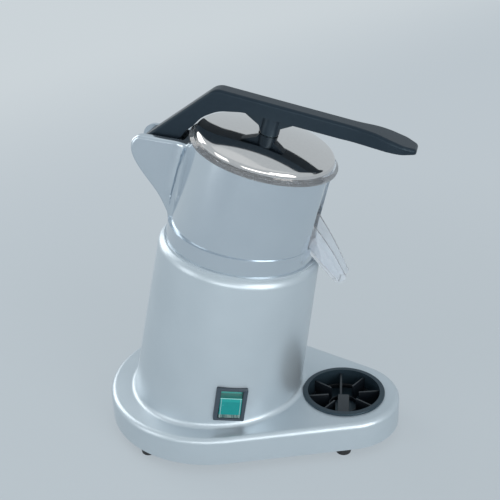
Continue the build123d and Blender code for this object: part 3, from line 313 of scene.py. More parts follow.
def grey_plastic(name):
    """Dark plastic whose moulded upper edges are painted a little lighter, as a painted
    highlight.
    """
    plastic = Finish(name)
    grain = plastic.noise(3.0)
    height = plastic.axes(plastic.place())[2]
    wall = plastic.mix(grain, colour(0.006, 0.009, 0.013), colour(0.010, 0.014, 0.020))
    # painted highlight: above 32.75 mm, at the tops of the fins, bar and web, the
    # colour is lighter
    painted_top_highlight = height.between(32.75, 33.2)
    plastic.drive("Base Color", plastic.mix(painted_top_highlight, wall, colour(0.013, 0.020, 0.027)))
    plastic.drive("Roughness", 0.32 + 0.12 * grain)
    plastic.bump(grain, 0.08)
    return plastic


def bezel_plastic(name):
    """Dark plastic of the switch's bezel."""
    plastic = Finish(name)
    grain = plastic.noise(4.0, 1.0)
    return plastic.mottle(
        grain, (0.034, 0.052, 0.072), (0.044, 0.064, 0.086), 0.35, 0.08
    )


def green_rocker(name):
    """Green translucent plastic over a lamp that is off, with painted light and shade
    on its face.
    """
    gloss = {"Coat_Weight": 0.15, "Coat_Roughness": 0.08}
    plastic = Finish(name, Specular_IOR_Level=0.3, **gloss)
    cloud = plastic.noise(0.25)
    up, across = plastic.along(SWITCH, 1), plastic.along(SWITCH, 0)
    face = plastic.mix(cloud, colour(0.002, 0.215, 0.218), colour(0.006, 0.270, 0.262))
    # painted light and shade from the middle upwards, in millimetres: a bright fold as
    # painted highlight, a hollow in painted shade, then the upper edge
    for low, high, shade in (
        (2.6, 3.4, (0.010, 0.300, 0.290)),
        (5.9, 6.4, (0.001, 0.120, 0.105)),
        (10.4, 10.9, (0.004, 0.270, 0.240)),
    ):
        face = plastic.mix(up.between(low, high), face, colour(*shade))
    # painted highlight: a thin bright line across the rocker where its shaded hollow
    # begins
    face = plastic.mix(up.near(6.15, 0.3), face, colour(0.32, 0.68, 0.66))
    # streaked foot
    streaks = plastic.noise(1.4, 1.0, plastic.place((1.0, 1.0, 0.05))).between(0.4, 0.6)
    foot = plastic.mix(streaks, colour(0.05, 0.12, 0.12), colour(0.16, 0.24, 0.23))
    face = plastic.mix(up.between(-9.4, -8.8), foot, face)
    # hairlines of light on both sides and along the foot
    lines = across.size().near(8.6, 0.22) * up.under(6.0) + up.near(-12.9, 0.25)
    face = plastic.mix(lines.over(0.5) * 0.7, face, colour(0.45, 0.60, 0.60))
    plastic.drive("Base Color", face)
    plastic.drive("Roughness", 0.22 + 0.08 * cloud)
    return plastic


def clear_plastic(name):
    """Clear moulded plastic with the faint waves of its mould."""
    tint = colour(0.93, 0.96, 1.0)
    clear = Finish(name, Base_Color=tint, Transmission_Weight=0.86, IOR=1.49)
    wave = clear.noise(0.06)
    clear.drive("Roughness", 0.02 + 0.03 * wave)
    clear.bump(wave, 0.04)
    return clear


def white_plastic(name):
    """Glossy white plastic."""
    plastic = Finish(name, Coat_Weight=0.2, Coat_Roughness=0.1)
    cloud = plastic.noise(0.08)
    return plastic.mottle(cloud, (0.70, 0.70, 0.67), (0.76, 0.76, 0.74), 0.3, 0.06)


def black_rubber(name):
    """Dull rubber of the feet and the seal."""
    rubber = Finish(name)
    grain = rubber.noise(1.5, 3.0)
    return rubber.mottle(
        grain, (0.010, 0.011, 0.012), (0.022, 0.023, 0.025), 0.6, 0.15, 0.15
    )


def zinc(name):
    """Plating of the screws."""
    plate = Finish(name, Metallic=1.0)
    cloud = plate.noise(0.6, 3.0)
    return plate.mottle(cloud, (0.42, 0.43, 0.44), (0.58, 0.59, 0.60), 0.25, 0.12)


def brass(name):
    """Turned brass."""
    metal = Finish(name, Metallic=1.0)
    cloud = metal.noise(0.5, 3.0)
    return metal.mottle(cloud, (0.62, 0.44, 0.18), (0.74, 0.55, 0.26), 0.28, 0.12)


def copper_wire(name):
    """Lacquered wire of the motor's windings."""
    wire = Finish(name, Metallic=0.8)
    strand = wire.noise(1.2, 3.0)
    return wire.mottle(strand, (0.36, 0.13, 0.05), (0.52, 0.22, 0.09), 0.3, 0.15, 0.3)


def lamination(name):
    """Dark sheet stack of the motor."""
    sheet = Finish(name, Metallic=0.9)
    stack = sheet.noise(1.4)
    return sheet.mottle(stack, (0.16, 0.16, 0.17), (0.26, 0.26, 0.27), 0.4, 0.15)


def raw_alloy(name):
    """Bare die casting."""
    alloy = Finish(name, Metallic=1.0)
    cloud = alloy.noise(0.3, 4.0)
    return alloy.mottle(cloud, (0.46, 0.46, 0.46), (0.58, 0.58, 0.58), 0.42, 0.15, 0.1)


# slot of the record -> finish
SLOT_FINISH = {
    "cast_alloy": silver_enamel,
    "plate_steel": satin_steel,
    "black_rubber": black_rubber,
    "screw_steel": zinc,
    "clear_plastic": clear_plastic,
    "strainer_steel": satin_steel,
    "white_plastic": white_plastic,
    "lid_steel": polished_steel,
    "lever_black": black_powder,
    "cup_black": black_plastic,
    "cup_grey": grey_plastic,
    "bezel_black": bezel_plastic,
    "rocker_green": green_rocker,
    "contact_brass": brass,
    "bush_brass": brass,
    "motor_steel": lamination,
    "motor_copper": copper_wire,
    "motor_alloy": raw_alloy,
    "cap_white": white_plastic,
    "block_white": white_plastic,
}
NODE_FINISH = {"bowl_holder": holder_lacquer, "lid_collar": black_plastic}
NODE_SLOT = {s["node"]: s["material_slot"] for s in frame["record"]["subparts"]}
NODE_BODY = {
    node: body
    for body, nodes in frame["record"]["behaviour"]["bodies"].items()
    for node in nodes
}


def finish_of(node):
    """The material of a node, from its own entry or from its slot."""
    return finish(NODE_FINISH.get(node) or SLOT_FINISH[NODE_SLOT[node]])


# ---------------------------------------------------------------- meshes
MERGE, SLIVER = 2e-6, 1e-6  # metres apart that still count as one place


def put(mesh, name):
    """A new object in the scene, at the origin."""
    made = bpy.data.objects.new(name, mesh)
    bpy.context.scene.collection.objects.link(made)
    return made


def mesh_of(form, name):
    """A mesh from a bmesh, which is freed."""
    mesh = bpy.data.meshes.new(name)
    form.to_mesh(mesh)
    form.free()
    return mesh


def dress(piece, node):
    """Gives a piece the finish and the body of the node it stands for."""
    piece.data.materials.clear()
    piece.data.materials.append(finish_of(node))
    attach(piece, NODE_BODY[node])
    return piece


def soften(piece, angle=30.0):
    """Smooth shading, with the edges sharper than the angle kept."""
    mesh = piece.data
    mesh.polygons.foreach_set("use_smooth", [True] * len(mesh.polygons))
    mesh.set_sharp_from_angle(angle=math.radians(angle))


# ---------------------------------------------------------------- corner normals
def triangles(mesh):
    """Vertices in mm, and each face's corners, unit normal and doubled area."""
    spots = np.empty(3 * len(mesh.vertices))
    mesh.vertices.foreach_get("co", spots)
    spots = 1000 * spots.reshape(-1, 3)
    corners = np.empty(len(mesh.loops), int)
    mesh.loops.foreach_get("vertex_index", corners)
    corners = corners.reshape(-1, 3)
    first, second, third = (spots[corners[:, k]] for k in range(3))
    faces = np.cross(second - first, third - first)
    area = np.linalg.norm(faces, axis=1) + 1e-12
    return spots, corners, faces / area[:, None], area


def polar(here):
    """Radius and angle of places round the z axis."""
    return np.hypot(here[:, 0], here[:, 1]), np.arctan2(here[:, 1], here[:, 0])


def turned_faces(here, facing, corners):
    """Which faces lie on a surface turned round z, and each face's slope in degrees."""
    widest = 0.6  # radians that a face may span
    stray = 0.01  # radians that its normal may point past that span
    slack, share = 0.02, 0.004  # millimetres off the surface, and more for long edges
    level = 0.99999  # upright part of a flat face's normal
    radius, angle = polar(here)
    first = angle[corners[:, 0]]
    turns = (angle[corners] - first[:, None] + np.pi) % (2 * np.pi) - np.pi
    middle = first + (turns.min(1) + turns.max(1)) / 2
    span = turns.max(1) - turns.min(1)
    out = facing[:, 0] * np.cos(middle) + facing[:, 1] * np.sin(middle)
    side = facing[:, 1] * np.cos(middle) - facing[:, 0] * np.sin(middle)
    up = facing[:, 2]
    off = np.abs(np.arctan2(side, np.abs(out) + 1e-9))
    out = np.copysign(np.hypot(out, side), out)
    flat = np.abs(up) > level
    turned = flat | ((off < span / 2 + stray) & (span < widest))
    for i, j in ((0, 1), (1, 2), (2, 0)):
        one, two = corners[:, i], corners[:, j]
        rise = (radius[two] - radius[one]) * out + (here[two, 2] - here[one, 2]) * up
        length = np.linalg.norm(here[two] - here[one], axis=1)
        turned &= flat | (np.abs(rise) < slack + share * length)
    return turned, np.degrees(np.arctan2(up, out))


def ring_normals(here, corners, which, slope, area, limit):
    """Corner normals of turned faces, by the mean slope of the faces on their ring."""
    radius, angle = polar(here)
    # rings are told apart by tenths of a millimetre
    marks = np.round(np.stack([radius, here[:, 2]], 1) * 10).astype(int)
    rings, known = {}, {}
    for face in which:
        for vertex in corners[face]:
            rings.setdefault(tuple(marks[vertex]), []).append((slope[face], area[face]))
    given = np.empty((len(which), 3, 3))
    for row, face in enumerate(which):
        for corner, vertex in enumerate(corners[face]):
            tag = (*marks[vertex], round(slope[face]))
            if tag not in known:
                near = np.array(rings[tag[:2]])
                near = near[np.abs(near[:, 0] - slope[face]) < limit]
                known[tag] = math.radians(np.average(near[:, 0], weights=near[:, 1]))
            rise, way = known[tag], angle[vertex]
            out, up = math.cos(rise), math.sin(rise)
            given[row, corner] = out * math.cos(way), out * math.sin(way), up
    return given


def mean_normals(normals, corners, faces, area, left, limit):
    """Gives the corners that are left the mean of the faces that meet them flatly."""
    vertices, weights = corners.ravel(), np.repeat(area, 3)
    order = np.argsort(vertices, kind="stable")
    count = np.bincount(vertices)
    start = np.cumsum(count) - count
    here = np.flatnonzero(np.repeat(left, 3))
    many = count[vertices[here]]
    # every pair of a corner that is left and a corner at the same vertex
    one = np.repeat(here, many)
    step = np.arange(len(one)) - np.repeat(np.cumsum(many) - many, many)
    two = order[start[vertices[one]] + step]
    given = normals.reshape(-1, 3).copy()
    close = (faces[one // 3] * given[two]).sum(1) > math.cos(math.radians(limit))
    total = np.zeros_like(given)
    np.add.at(total, one[close], given[two[close]] * weights[two[close], None])
    given[here] = total[here]
    return given / np.linalg.norm(given, axis=1)[:, None]


def even(piece, axes, limit):
    """Corner normals by face area, even round the axes that a piece is turned on."""
    spots, corners, faces, area = triangles(piece.data)
    normals = np.repeat(faces[:, None], 3, axis=1)
    left = np.ones(len(corners), bool)
    for axis in axes:
        turn = np.array(axis.to_3x3())
        here = (spots - 1000 * np.array(axis.translation)) @ turn
        turned, slope = turned_faces(here, faces @ turn, corners)
        which = np.flatnonzero(left & turned)
        normals[which] = ring_normals(here, corners, which, slope, area, limit) @ turn.T
        left[which] = False
    given = mean_normals(normals, corners, faces, area, left, limit)
    piece.data.normals_split_custom_set(given.tolist())


# ---------------------------------------------------------------- hollow of the fork
# the fork's cheeks and the cup that they grow from, in millimetres on the drive axis
FORK_HALF = 20.0  # half the width over both cheeks
CUP_R, CUP_DRAW, CUP_FOOT, CUP_HEIGHT = 65, 2, 10, 78.5  # draws in above its foot
CUP_IN_R = 61  # inside the cup's wall
FORK_BOX = ((-86, -38), (15, 50), (6, 89))  # x, y to either side and z
CHEEK_TOP, CHEEK_SLOPE, CHEEK_MID = 82.8, 0.1631, -50  # upper edge of a cheek
CHEEK_EDGE = 3.3  # its rounding
BLEND = 8.0  # radius of the hollow between cheek and cup
WIDER = 13  # added to it from WIDER_FROM on, over WIDER_OVER
WIDER_FROM, WIDER_OVER = 16, 20
ON_FACE, ON_CUP, ON_TOP = 0.15, 0.12, 0.2  # how near counts as lying on them
FINE_EDGE, FINE_ROUNDS = 2.4, 6  # longest edge near the hollow, rounds of cutting


def drive_spot(place):
    """A place in millimetres on the drive axis."""
    return 1000 * (DRIVE.inverted() @ place)


def near_fork(spot):
    """Whether a spot lies where cheek and cup meet, outside the cup's wall."""
    place = (spot.x, abs(spot.y), spot.z)
    in_box = all(low < along < high for along, (low, high) in zip(place, FORK_BOX))
    return in_box and math.hypot(spot.x, spot.y) > CUP_IN_R


def cut_fine(form):
    """Cuts the long edges near the fork."""
    for _ in range(FINE_ROUNDS):
        long = []
        for edge in form.edges:
            one, two = (drive_spot(v.co) for v in edge.verts)
            if (one - two).length > FINE_EDGE and any(
                near_fork(spot) for spot in (one, two, (one + two) / 2)
            ):
                long.append(edge)
        if not long:
            break
        bmesh.ops.subdivide_edges(form, edges=long, cuts=1)
        bmesh.ops.triangulate(form, faces=[f for f in form.faces if len(f.verts) > 3])


def widened(x, y, z):
    """Place in the wide hollow of a spot on the narrow one; y is counted positive."""
    cup = CUP_R - CUP_DRAW * max(z - CUP_FOOT, 0) / CUP_HEIGHT
    reach = math.hypot(x, y)
    if abs(reach - cup) < ON_CUP:
        x, y, reach = x * cup / reach, y * cup / reach, cup
    top = CHEEK_TOP + CHEEK_SLOPE * (x - CHEEK_MID)
    share = min(max((z - WIDER_FROM) / WIDER_OVER, 0), 1)
    wide = BLEND + WIDER * share * share * (3 - 2 * share)
    if z >= top + ON_TOP or wide <= BLEND:
        return x, y
    # the hollow is an arc round (old_x, old_y), and it becomes one round (new_x, new_y)
    old_y, new_y = FORK_HALF + BLEND, FORK_HALF + wide
    old_x = -math.sqrt((cup + BLEND) ** 2 - old_y**2)
    new_x = -math.sqrt((cup + wide) ** 2 - new_y**2)
    if x < old_x:
        near_x, near_y = x, FORK_HALF
    elif math.atan2(y, -x) > math.atan2(old_y, -old_x):
        near_x, near_y = x * cup / reach, y * cup / reach
    else:
        gap = math.hypot(x - old_x, y - old_y)
        near_x = old_x + BLEND * (x - old_x) / gap
        near_y = old_y + BLEND * (y - old_y) / gap
    depth = math.hypot(x - near_x, y - near_y)
    ledge = abs(reach - cup) < 0.1 and z > top - ON_TOP and depth > ON_FACE
    shallow = depth < ON_FACE or (depth < CHEEK_EDGE and top - z < CHEEK_EDGE)
    inside = near_x > new_x and math.atan2(near_y, -near_x) < math.atan2(new_y, -new_x)
    if shallow and inside and not ledge:
        gap = math.hypot(near_x - new_x, near_y - new_y)
        x += new_x + wide * (near_x - new_x) / gap - near_x
        y += new_y + wide * (near_y - new_y) / gap - near_y
    return x, y


def flow(form):
    """Widens the hollow blend between the fork's cheeks and the round cup."""
    cut_fine(form)
    for vert in form.verts:
        spot = drive_spot(vert.co)
        if near_fork(spot):
            x, y = widened(spot.x, abs(spot.y), spot.z)
            moved = Vector((x, math.copysign(y, spot.y), spot.z))
            vert.co = DRIVE @ (moved / 1000)


def refine(node, name, angle=30.0, axes=(), shape=None):
    """A merged, smoothly shaded copy of a node in its place."""
    form = bmesh.new()
    form.from_mesh(frame["nodes"][node].data)
    bmesh.ops.remove_doubles(form, verts=form.verts, dist=MERGE)
    bmesh.ops.dissolve_degenerate(form, edges=form.edges, dist=SLIVER)
    bmesh.ops.triangulate(form, faces=form.faces)
    if shape:
        shape(form)
        bmesh.ops.dissolve_degenerate(form, edges=form.edges, dist=5 * SLIVER)
        bmesh.ops.triangulate(form, faces=form.faces)
    mesh = mesh_of(form, name)
    mesh.validate()
    piece = put(mesh, name)
    soften(piece, angle)
    even(piece, axes, angle)
    dress(piece, node)
    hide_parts(node)
    return piece


# ---------------------------------------------------------------- geometry trees
class Tree(Nodes):
    """A Geometry Nodes tree with named inputs."""

    prefix = "GeometryNode"

    def __init__(self, name, **inputs):
        super().__init__(bpy.data.node_groups.new(name, "GeometryNodeTree"))
        face = self.tree.interface
        face.new_socket("Geometry", in_out="INPUT", socket_type="NodeSocketGeometry")
        for label, value in inputs.items():
            kind = {int: "NodeSocketInt", float: "NodeSocketFloat"}[type(value)]
            made = face.new_socket(label, in_out="INPUT", socket_type=kind)
            made.default_value = value
        face.new_socket("Finish", in_out="INPUT", socket_type="NodeSocketMaterial")
        face.new_socket("Geometry", in_out="OUTPUT", socket_type="NodeSocketGeometry")
        start = self.tree.nodes.new("NodeGroupInput")
        self.given = {out.name: Wire(self, out) for out in start.outputs if out.name}

    def close(self, wire):
        """Makes the pieces real, gives them the finish and ends the tree."""
        real = self.node("RealizeInstances", {"Geometry": wire})
        look = {"Geometry": real, "Material": self.given["Finish"]}
        done = self.node("SetMaterial", look)
        end = self.tree.nodes.new("NodeGroupOutput")
        self.tree.links.new(done.out, end.inputs[0])
        return self.tree


@functools.cache
def ring_tree():
    """Copies of a piece set round the z axis, one step apart."""
    tree = Tree("ring_of_pieces", Count=3, Step=0.785, Turn=0.0)
    turn = tree.node("InputIndex") * tree.given["Step"] + tree.given["Turn"]
    spin = tree.node("ShaderNodeCombineXYZ", {"Z": turn})
    points = tree.node("Points", {"Count": tree.given["Count"]})
    ring = {"Points": points, "Instance": tree.given["Geometry"], "Rotation": spin}
    return tree.close(tree.node("InstanceOnPoints", ring))


PATH_R = 0.1  # radius of the path that a profile is turned along, in metres


@functools.cache
def turned_tree():
    """Solid of revolution from a closed profile drawn in x and -y, beside the path."""
    tree = Tree("turned_piece", Segments=192)
    profile = tree.node("MeshToCurve", {"Mesh": tree.given["Geometry"]})
    circle = {"Resolution": tree.given["Segments"], "Radius": PATH_R}
    path = tree.node("CurvePrimitiveCircle", circle)
    turned = tree.node("CurveToMesh", {"Curve": path, "Profile Curve": profile})
    return tree.close(turned)


def grown(tree, mesh, **values):
    """The plain mesh that a tree makes of a mesh."""
    seed = put(mesh, "seed")
    grow = seed.modifiers.new("grow", "NODES")
    grow.node_group = tree
    for item in tree.interface.items_tree:
        if item.in_out == "INPUT" and item.name in values:
            grow[item.identifier] = values[item.name]
    result = bpy.data.meshes.new_from_object(
        seed.evaluated_get(bpy.context.evaluated_depsgraph_get())
    )
    seed.modifiers.remove(grow)
    bpy.data.objects.remove(seed)
    return result


def arc(start, middle, end, steps):
    """Points on the circle through three points, without the first."""
    (ax, ay), (bx, by), (cx, cy) = start, middle, end
    double = 2 * (ax * (by - cy) + bx * (cy - ay) + cx * (ay - by))
    aa, bb, cc = ax * ax + ay * ay, bx * bx + by * by, cx * cx + cy * cy
    mid_x = (aa * (by - cy) + bb * (cy - ay) + cc * (ay - by)) / double
    mid_y = (aa * (cx - bx) + bb * (ax - cx) + cc * (bx - ax)) / double
    radius = math.hypot(ax - mid_x, ay - mid_y)
    first = math.atan2(ay - mid_y, ax - mid_x)
    last = math.atan2(cy - mid_y, cx - mid_x)
    way = (last - first + math.pi) % (2 * math.pi) - math.pi
    turns = [first + way * k / steps for k in range(1, steps + 1)]
    return [(mid_x + radius * math.cos(t), mid_y + radius * math.sin(t)) for t in turns]


def turn_out(profile, node, segments=192):
    """Mesh turned from a closed profile of radius and height in millimetres."""
    mesh = bpy.data.meshes.new("profile")
    count = len(profile)
    mesh.from_pydata(
        [(0.001 * radius - PATH_R, -0.001 * height, 0) for radius, height in profile],
        [(k, (k + 1) % count) for k in range(count)],
        [],
    )
    return grown(turned_tree(), mesh, Segments=segments, Finish=finish_of(node))


def ring_of(mesh, node, count, step, start=0.0):
    """Copies of a mesh round the z axis, from a start angle on, in degrees."""
    return grown(
        ring_tree(),
        mesh,
        Count=count,
        Step=math.radians(step),
        Turn=math.radians(start),
        Finish=finish_of(node),
    )


def join(name, *parts):
    """One object from meshes and the matrices that place them."""
    form = bmesh.new()
    for mesh, place in parts:
        mesh.transform(place)
        form.from_mesh(mesh)
    bmesh.ops.remove_doubles(form, verts=form.verts, dist=SLIVER)
    bmesh.ops.recalc_face_normals(form, faces=form.faces)
    return put(mesh_of(form, name), name)


def slab(length, width, height, round_off, foot):
    """Bar along +x from the origin with rounded upper edges, standing on z = foot."""
    form = bmesh.new()
    bmesh.ops.create_cube(form, size=1.0)
    for v in form.verts:
        x, y, z = v.co
        v.co = Vector(((x + 0.5) * length, y * width, (z + 0.5) * height + foot))
    edges = [e for e in form.edges if all(v.co.z > foot + height / 2 for v in e.verts)]
    bmesh.ops.bevel(
        form, geom=edges, offset=round_off, segments=4, profile=0.5, affect="EDGES"
    )
    mesh = mesh_of(form, "slab")
    mesh.transform(MM)
    return mesh


# ---------------------------------------------------------------- profiles
# radius and height on the drive axis, in millimetres
def head_profile():
    """Squeezing head without its ribs: socket, skirt and the cone with its tip."""
    foot = [(6.03, 39.5), (17.6, 39.5), (17.6, 42), (33, 42), (33, 43.6), (32.6, 44)]
    cone = [(25.5, 45.2)] + arc((25.5, 45.2), (16, 62), (4, 72), 20)
    tip = arc((4, 72), (2.2, 74.8), (0.05, 75.4), 4)
    return foot + cone + tip + [(0.05, 62), (6.03, 62)]


def rib_mesh():
    """One rib of the head: a round-backed strip that runs up the cone to its tip."""
    crest = [(31.5, 44.5)] + arc((31.5, 47), (19.5, 66), (0.3, 76), 28)
    back, foot, root = 1.2, 1.4, 5.0  # radius, half the width and depth of its foot
    turns = [math.pi * step / 6 for step in range(7)]
    section = [(back * math.cos(t), back - back * math.sin(t)) for t in turns]
    section = [(foot, root)] + section + [(-foot, root)]
    wide = len(section)
    spots, faces = [], []
    for k, (radius, height) in enumerate(crest):
        ahead, behind = crest[min(k + 1, len(crest) - 1)], crest[max(k - 1, 0)]
        run_r, run_h = ahead[0] - behind[0], ahead[1] - behind[1]
        run = math.hypot(run_r, run_h)
        out_r, out_h = run_h / run, -run_r / run
        for across, depth in section:
            inward = max(radius - depth * out_r, 0.0)
            spots.append((inward, across, height - depth * out_h))
        if k:
            for here in range(wide * k, wide * (k + 1) - 1):
                faces.append((here, here + 1, here + 1 - wide, here - wide))
    mesh = bpy.data.meshes.new("rib")
    mesh.from_pydata(spots, [], faces)
    mesh.transform(MM)
    return mesh


def lid_profile():
    """Domed sheet from its bore to the rolled rim, and back inside."""
    outer = [(4.05, 104.8), (7.8, 104.8)]
    outer += arc((7.8, 104.8), (34, 102.4), (57.36, 97.85), 28)
    outer += arc((57.36, 97.85), (59.62, 96.44), (60.5, 93.9), 12)
    rim = [(60.5, 92.4), (60.3, 92.2), (59, 92.2), (59, 93.2), (59.5, 93.2)]
    inner = [(59.5, 93.9)] + arc((59.5, 93.9), (58.83, 95.82), (57.13, 96.88), 8)
    inner += arc((57.13, 96.88), (34, 101.4), (7.8, 103.8), 20)
    return outer + rim + inner + [(4.05, 103.8)]


# ---------------------------------------------------------------- settings
class PressSettings(bpy.types.PropertyGroup):
    floor_colour: bpy.props.FloatVectorProperty(
        name="Floor colour",
        description="Colour of the floor and of the room behind it",
        default=(0.515, 0.578, 0.617),
        subtype="COLOR",
        size=3,
        min=0.0,
        max=1.0,
    )
    key_power: bpy.props.FloatProperty(
        name="Key light",
        description="Power of the large light on the right",
        default=15.0,
        min=0.0,
        unit="POWER",
    )


# ---------------------------------------------------------------- stage
CAMERA_TURN, CAMERA_LIFT, CAMERA_ROLL = -15.57, 25.83, -2.21  # degrees
CAMERA_TARGET, CAMERA_AWAY = Vector((-0.00075, 0, 0.17568)), 0.77256  # metres
FOCAL = 861.17 / 500  # focal length in widths of the frame
SENSOR = 36  # millimetres
LIGHT_TARGET = Vector((0, 0, 0.16))
LIGHT_COLOUR = (1.0, 0.99, 0.97)


def make_floor(floor_colour):
    """Pale paper that brightens away from the press for rays that see it."""
    form = bmesh.new()
    bmesh.ops.create_grid(form, x_segments=1, y_segments=1, size=8.0)
    floor = put(mesh_of(form, "floor"), "floor")
    paper = Finish("floor_paper", Roughness=0.85, Specular_IOR_Level=0.2)
    dark, light = (colour(*[share * c for c in floor_colour]) for share in (0.97, 1.03))
    paper.drive("Base Color", paper.mix(paper.noise(0.002, 1.0), dark, light))
    x, y = paper.axes(paper.place())[:2]
    reach = (x * x + y * y).root()
    far_left = 0.695 * y - 1.231 * x
    backdrop = paper.mix(
        far_left.between(700, 2000),
        colour(0.505, 0.565, 0.610),
        colour(0.600, 0.656, 0.690),
    )
    glow = paper.node("Emission", {"Color": backdrop, "Strength": 1.0})
    share = paper.seen() * (0.70 + 0.30 * reach.between(200, 800))
    lit = Wire(paper, paper.shader.outputs[0])
    paper.blend(share, lit, glow, "Material Output")
    floor.data.materials.append(paper.material)


def make_room(scene):
    """Soft light from all round, and the colour in which the room itself is seen."""
    world = bpy.data.worlds.new("room")
    scene.world = world
    world.use_nodes = True
    room = Nodes(world.node_tree)
    ambient, view = (
        room.node("Background", {"Color": colour(*shade), "Strength": strength})
        for shade, strength in (((0.78, 0.84, 0.88), 0.55), ((0.56, 0.62, 0.66), 1.0))
    )
    room.blend(room.seen(), ambient, view, "World Output")


def make_lights(scene, key_power):
    """Large soft lights that aim at the middle of the press."""
    # name, power in watts, width and height, place
    lights = (
        ("key_left", 8.5, (0.9, 1.2), (-1.25, 0.64, 0.80)),
        ("fill_left", 3.5, (0.7, 1.0), (-1.20, -0.95, 0.60)),
        ("top", 1.5, (1.6, 1.6), (0.1, 0.2, 1.7)),
        ("key_right", key_power, (0.9, 1.5), (1.30, -1.00, 0.50)),
        ("front", 10.0, (1.6, 1.0), (0.25, -1.7, 0.20)),
    )
    for name, power, (wide, high), place in lights:
        lamp = bpy.data.lights.new(name, "AREA")
        lamp.shape = "RECTANGLE"
        lamp.size = wide
        lamp.size_y = high
        lamp.energy = power
        lamp.color = LIGHT_COLOUR
        holder = bpy.data.objects.new(name, lamp)
        scene.collection.objects.link(holder)
        holder.location = place
        holder.visible_camera = False
        aim = LIGHT_TARGET - Vector(place)
        holder.rotation_euler = aim.to_track_quat("-Z", "Y").to_euler()


def make_camera(scene):
    """Camera that looks down on the press from its front left."""
    turn, lift, roll = map(math.radians, (CAMERA_TURN, CAMERA_LIFT, CAMERA_ROLL))
    level = math.cos(lift)
    back = Vector((-math.sin(turn) * level, -math.cos(turn) * level, math.sin(lift)))
    right = Vector((math.cos(turn), -math.sin(turn), 0))
    up = back.cross(right)
    side = right * math.cos(roll) + up * math.sin(roll)
    top = up * math.cos(roll) - right * math.sin(roll)
    lens = bpy.data.cameras.new("camera")
    lens.lens = FOCAL * SENSOR
    lens.sensor_width = SENSOR
    lens.clip_start = 0.01
    lens.clip_end = 50
    camera = bpy.data.objects.new("camera", lens)
    scene.collection.objects.link(camera)
    stand = Matrix((side, top, back)).transposed().to_4x4()
    stand.translation = CAMERA_TARGET + back * CAMERA_AWAY
    camera.matrix_world = stand
    scene.camera = camera


class PRESS_OT_stage(bpy.types.Operator):
    """Makes the pale floor, the soft lights and the camera"""

    bl_idname = "press.stage"
    bl_label = "Stage"

    def execute(self, context):
        scene = context.scene
        scene.view_settings.view_transform = "Standard"
        make_floor(scene.press.floor_colour)
        make_room(scene)
        make_lights(scene, scene.press.key_power)
        make_camera(scene)
        return {"FINISHED"}


# ---------------------------------------------------------------- pieces
class PRESS_OT_castings(bpy.types.Operator):
    """Makes the tower with its base and the bowl holder"""

    bl_idname = "press.castings"
    bl_label = "Castings"

    def execute(self, context):
        refine("housing", "tower_and_base", 25, (TOWER,))
        refine("bowl_holder", "holder_casting", 25, (DRIVE, TOWER), flow)
        return {"FINISHED"}


class PRESS_OT_bowl(bpy.types.Operator):
    """Makes the clear bowl, the strainer and the squeezing head"""

    bl_idname = "press.bowl"
    bl_label = "Bowl"

    def execute(self, context):
        refine("juice_bowl", "clear_bowl", 25, (DRIVE,))
        refine("strainer", "strainer_sheet", 30)
        cone = turn_out(head_profile(), "reamer", 96)
        ribs = ring_of(rib_mesh(), "reamer", 10, 36)
        head = join("squeezing_head", (cone, DRIVE), (ribs, DRIVE))
        soften(head, 40)
        dress(head, "reamer")
        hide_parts("reamer")
        return {"FINISHED"}


class PRESS_OT_lid(bpy.types.Operator):
    """Makes the domed lid with its stem and presser"""

    bl_idname = "press.lid"
    bl_label = "Lid"

    def execute(self, context):
        dome = join("domed_lid", (turn_out(lid_profile(), "lid", 288), DRIVE))
        soften(dome, 30)
        dress(dome, "lid")
        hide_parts("lid")
        refine("lid_collar", "stem_collar", 30)
        refine("presser", "presser_cup", 35)
        return {"FINISHED"}


class PRESS_OT_lever(bpy.types.Operator):
    """Makes the lever"""

    bl_idname = "press.lever"
    bl_label = "Lever"

    def execute(self, context):
        refine("lever", "lever_arm", 25)
        return {"FINISHED"}


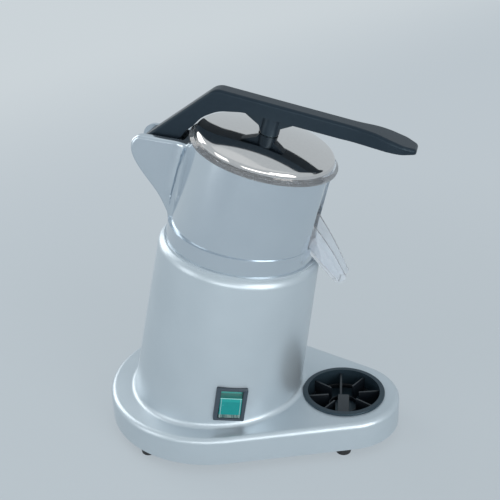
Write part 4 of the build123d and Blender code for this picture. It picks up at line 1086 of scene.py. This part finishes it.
class PRESS_OT_drip(bpy.types.Operator):
    """Makes the drip cup and its finned insert"""

    bl_idname = "press.drip"
    bl_label = "Drip cup"

    def execute(self, context):
        refine("drip_cup", "drip_tray", 30, (CUP,))
        node, low, high = "drip_insert", 17.3, 33.3
        pieces = []
        # two sets of three fins, starting on the hub
        for start in (-26.5, 153.5):
            fin = slab(19.0, 1.6, high - low, 0.5, low)
            fin.transform(Matrix.Translation((0.0144, 0, 0)))
            pieces.append((ring_of(fin, node, 3, 45, start), CUP))
        # low hoops, around the fins and around the hub
        for outer, inner in ((33.5, 31.7), (14.2, 12.6)):
            hoop = [(inner, low), (outer, low), (outer, low + 3.6)]
            hoop += [(outer - 0.4, low + 4), (inner + 0.4, low + 4), (inner, low + 3.6)]
            pieces.append((turn_out(hoop, node, 96), CUP))
        # finger bar, and the web that carries its inner end
        for size, turn, place in (
            ((31.2, 10.6, high - low, 0.7, low), -82, (0.002, 0, 0)),
            ((34.8, 2.2, high - low, 0.6, low), 98.5, (-0.0018, 0.0027, 0)),
        ):
            spin = Matrix.Rotation(math.radians(turn), 4, "Z")
            pieces.append((slab(*size), CUP @ (spin @ Matrix.Translation(place))))
        fins = join("drip_fins", *pieces)
        soften(fins, 50)
        dress(fins, "drip_insert")
        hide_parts("drip_insert")
        return {"FINISHED"}


class PRESS_OT_switch(bpy.types.Operator):
    """Makes the rocker switch"""

    bl_idname = "press.switch"
    bl_label = "Switch"

    def execute(self, context):
        refine("switch_body", "switch_bezel", 30)
        refine("switch_rocker", "switch_key", 30)
        return {"FINISHED"}


class PRESS_OT_fittings(bpy.types.Operator):
    """Gives every other node its finish"""

    bl_idname = "press.fittings"
    bl_label = "Fittings"

    def execute(self, context):
        for node, piece in frame["nodes"].items():
            if not piece.hide_render:
                piece.data.materials.clear()
                piece.data.materials.append(finish_of(node))
        return {"FINISHED"}


class PRESS_PT_panel(bpy.types.Panel):
    """Lists the steps that dress the press"""

    bl_idname = "PRESS_PT_panel"
    bl_label = "Citrus Press"
    bl_space_type = "VIEW_3D"
    bl_region_type = "UI"
    bl_category = "Citrus Press"

    def draw(self, context):
        layout = self.layout
        layout.prop(context.scene.press, "floor_colour")
        layout.prop(context.scene.press, "key_power")
        for step in STEPS:
            layout.operator(step.bl_idname)


STEPS = (
    PRESS_OT_stage,
    PRESS_OT_castings,
    PRESS_OT_bowl,
    PRESS_OT_lid,
    PRESS_OT_lever,
    PRESS_OT_drip,
    PRESS_OT_switch,
    PRESS_OT_fittings,
)


def register():
    for part in (PressSettings, *STEPS, PRESS_PT_panel):
        bpy.utils.register_class(part)
    bpy.types.Scene.press = bpy.props.PointerProperty(type=PressSettings)


def unregister():
    del bpy.types.Scene.press
    for part in reversed((PressSettings, *STEPS, PRESS_PT_panel)):
        bpy.utils.unregister_class(part)


def main():
    register()
    bpy.ops.press.stage()
    bpy.ops.press.castings()
    bpy.ops.press.bowl()
    bpy.ops.press.lid()
    bpy.ops.press.lever()
    bpy.ops.press.drip()
    bpy.ops.press.switch()
    bpy.ops.press.fittings()


if __name__ == "__main__":
    main()
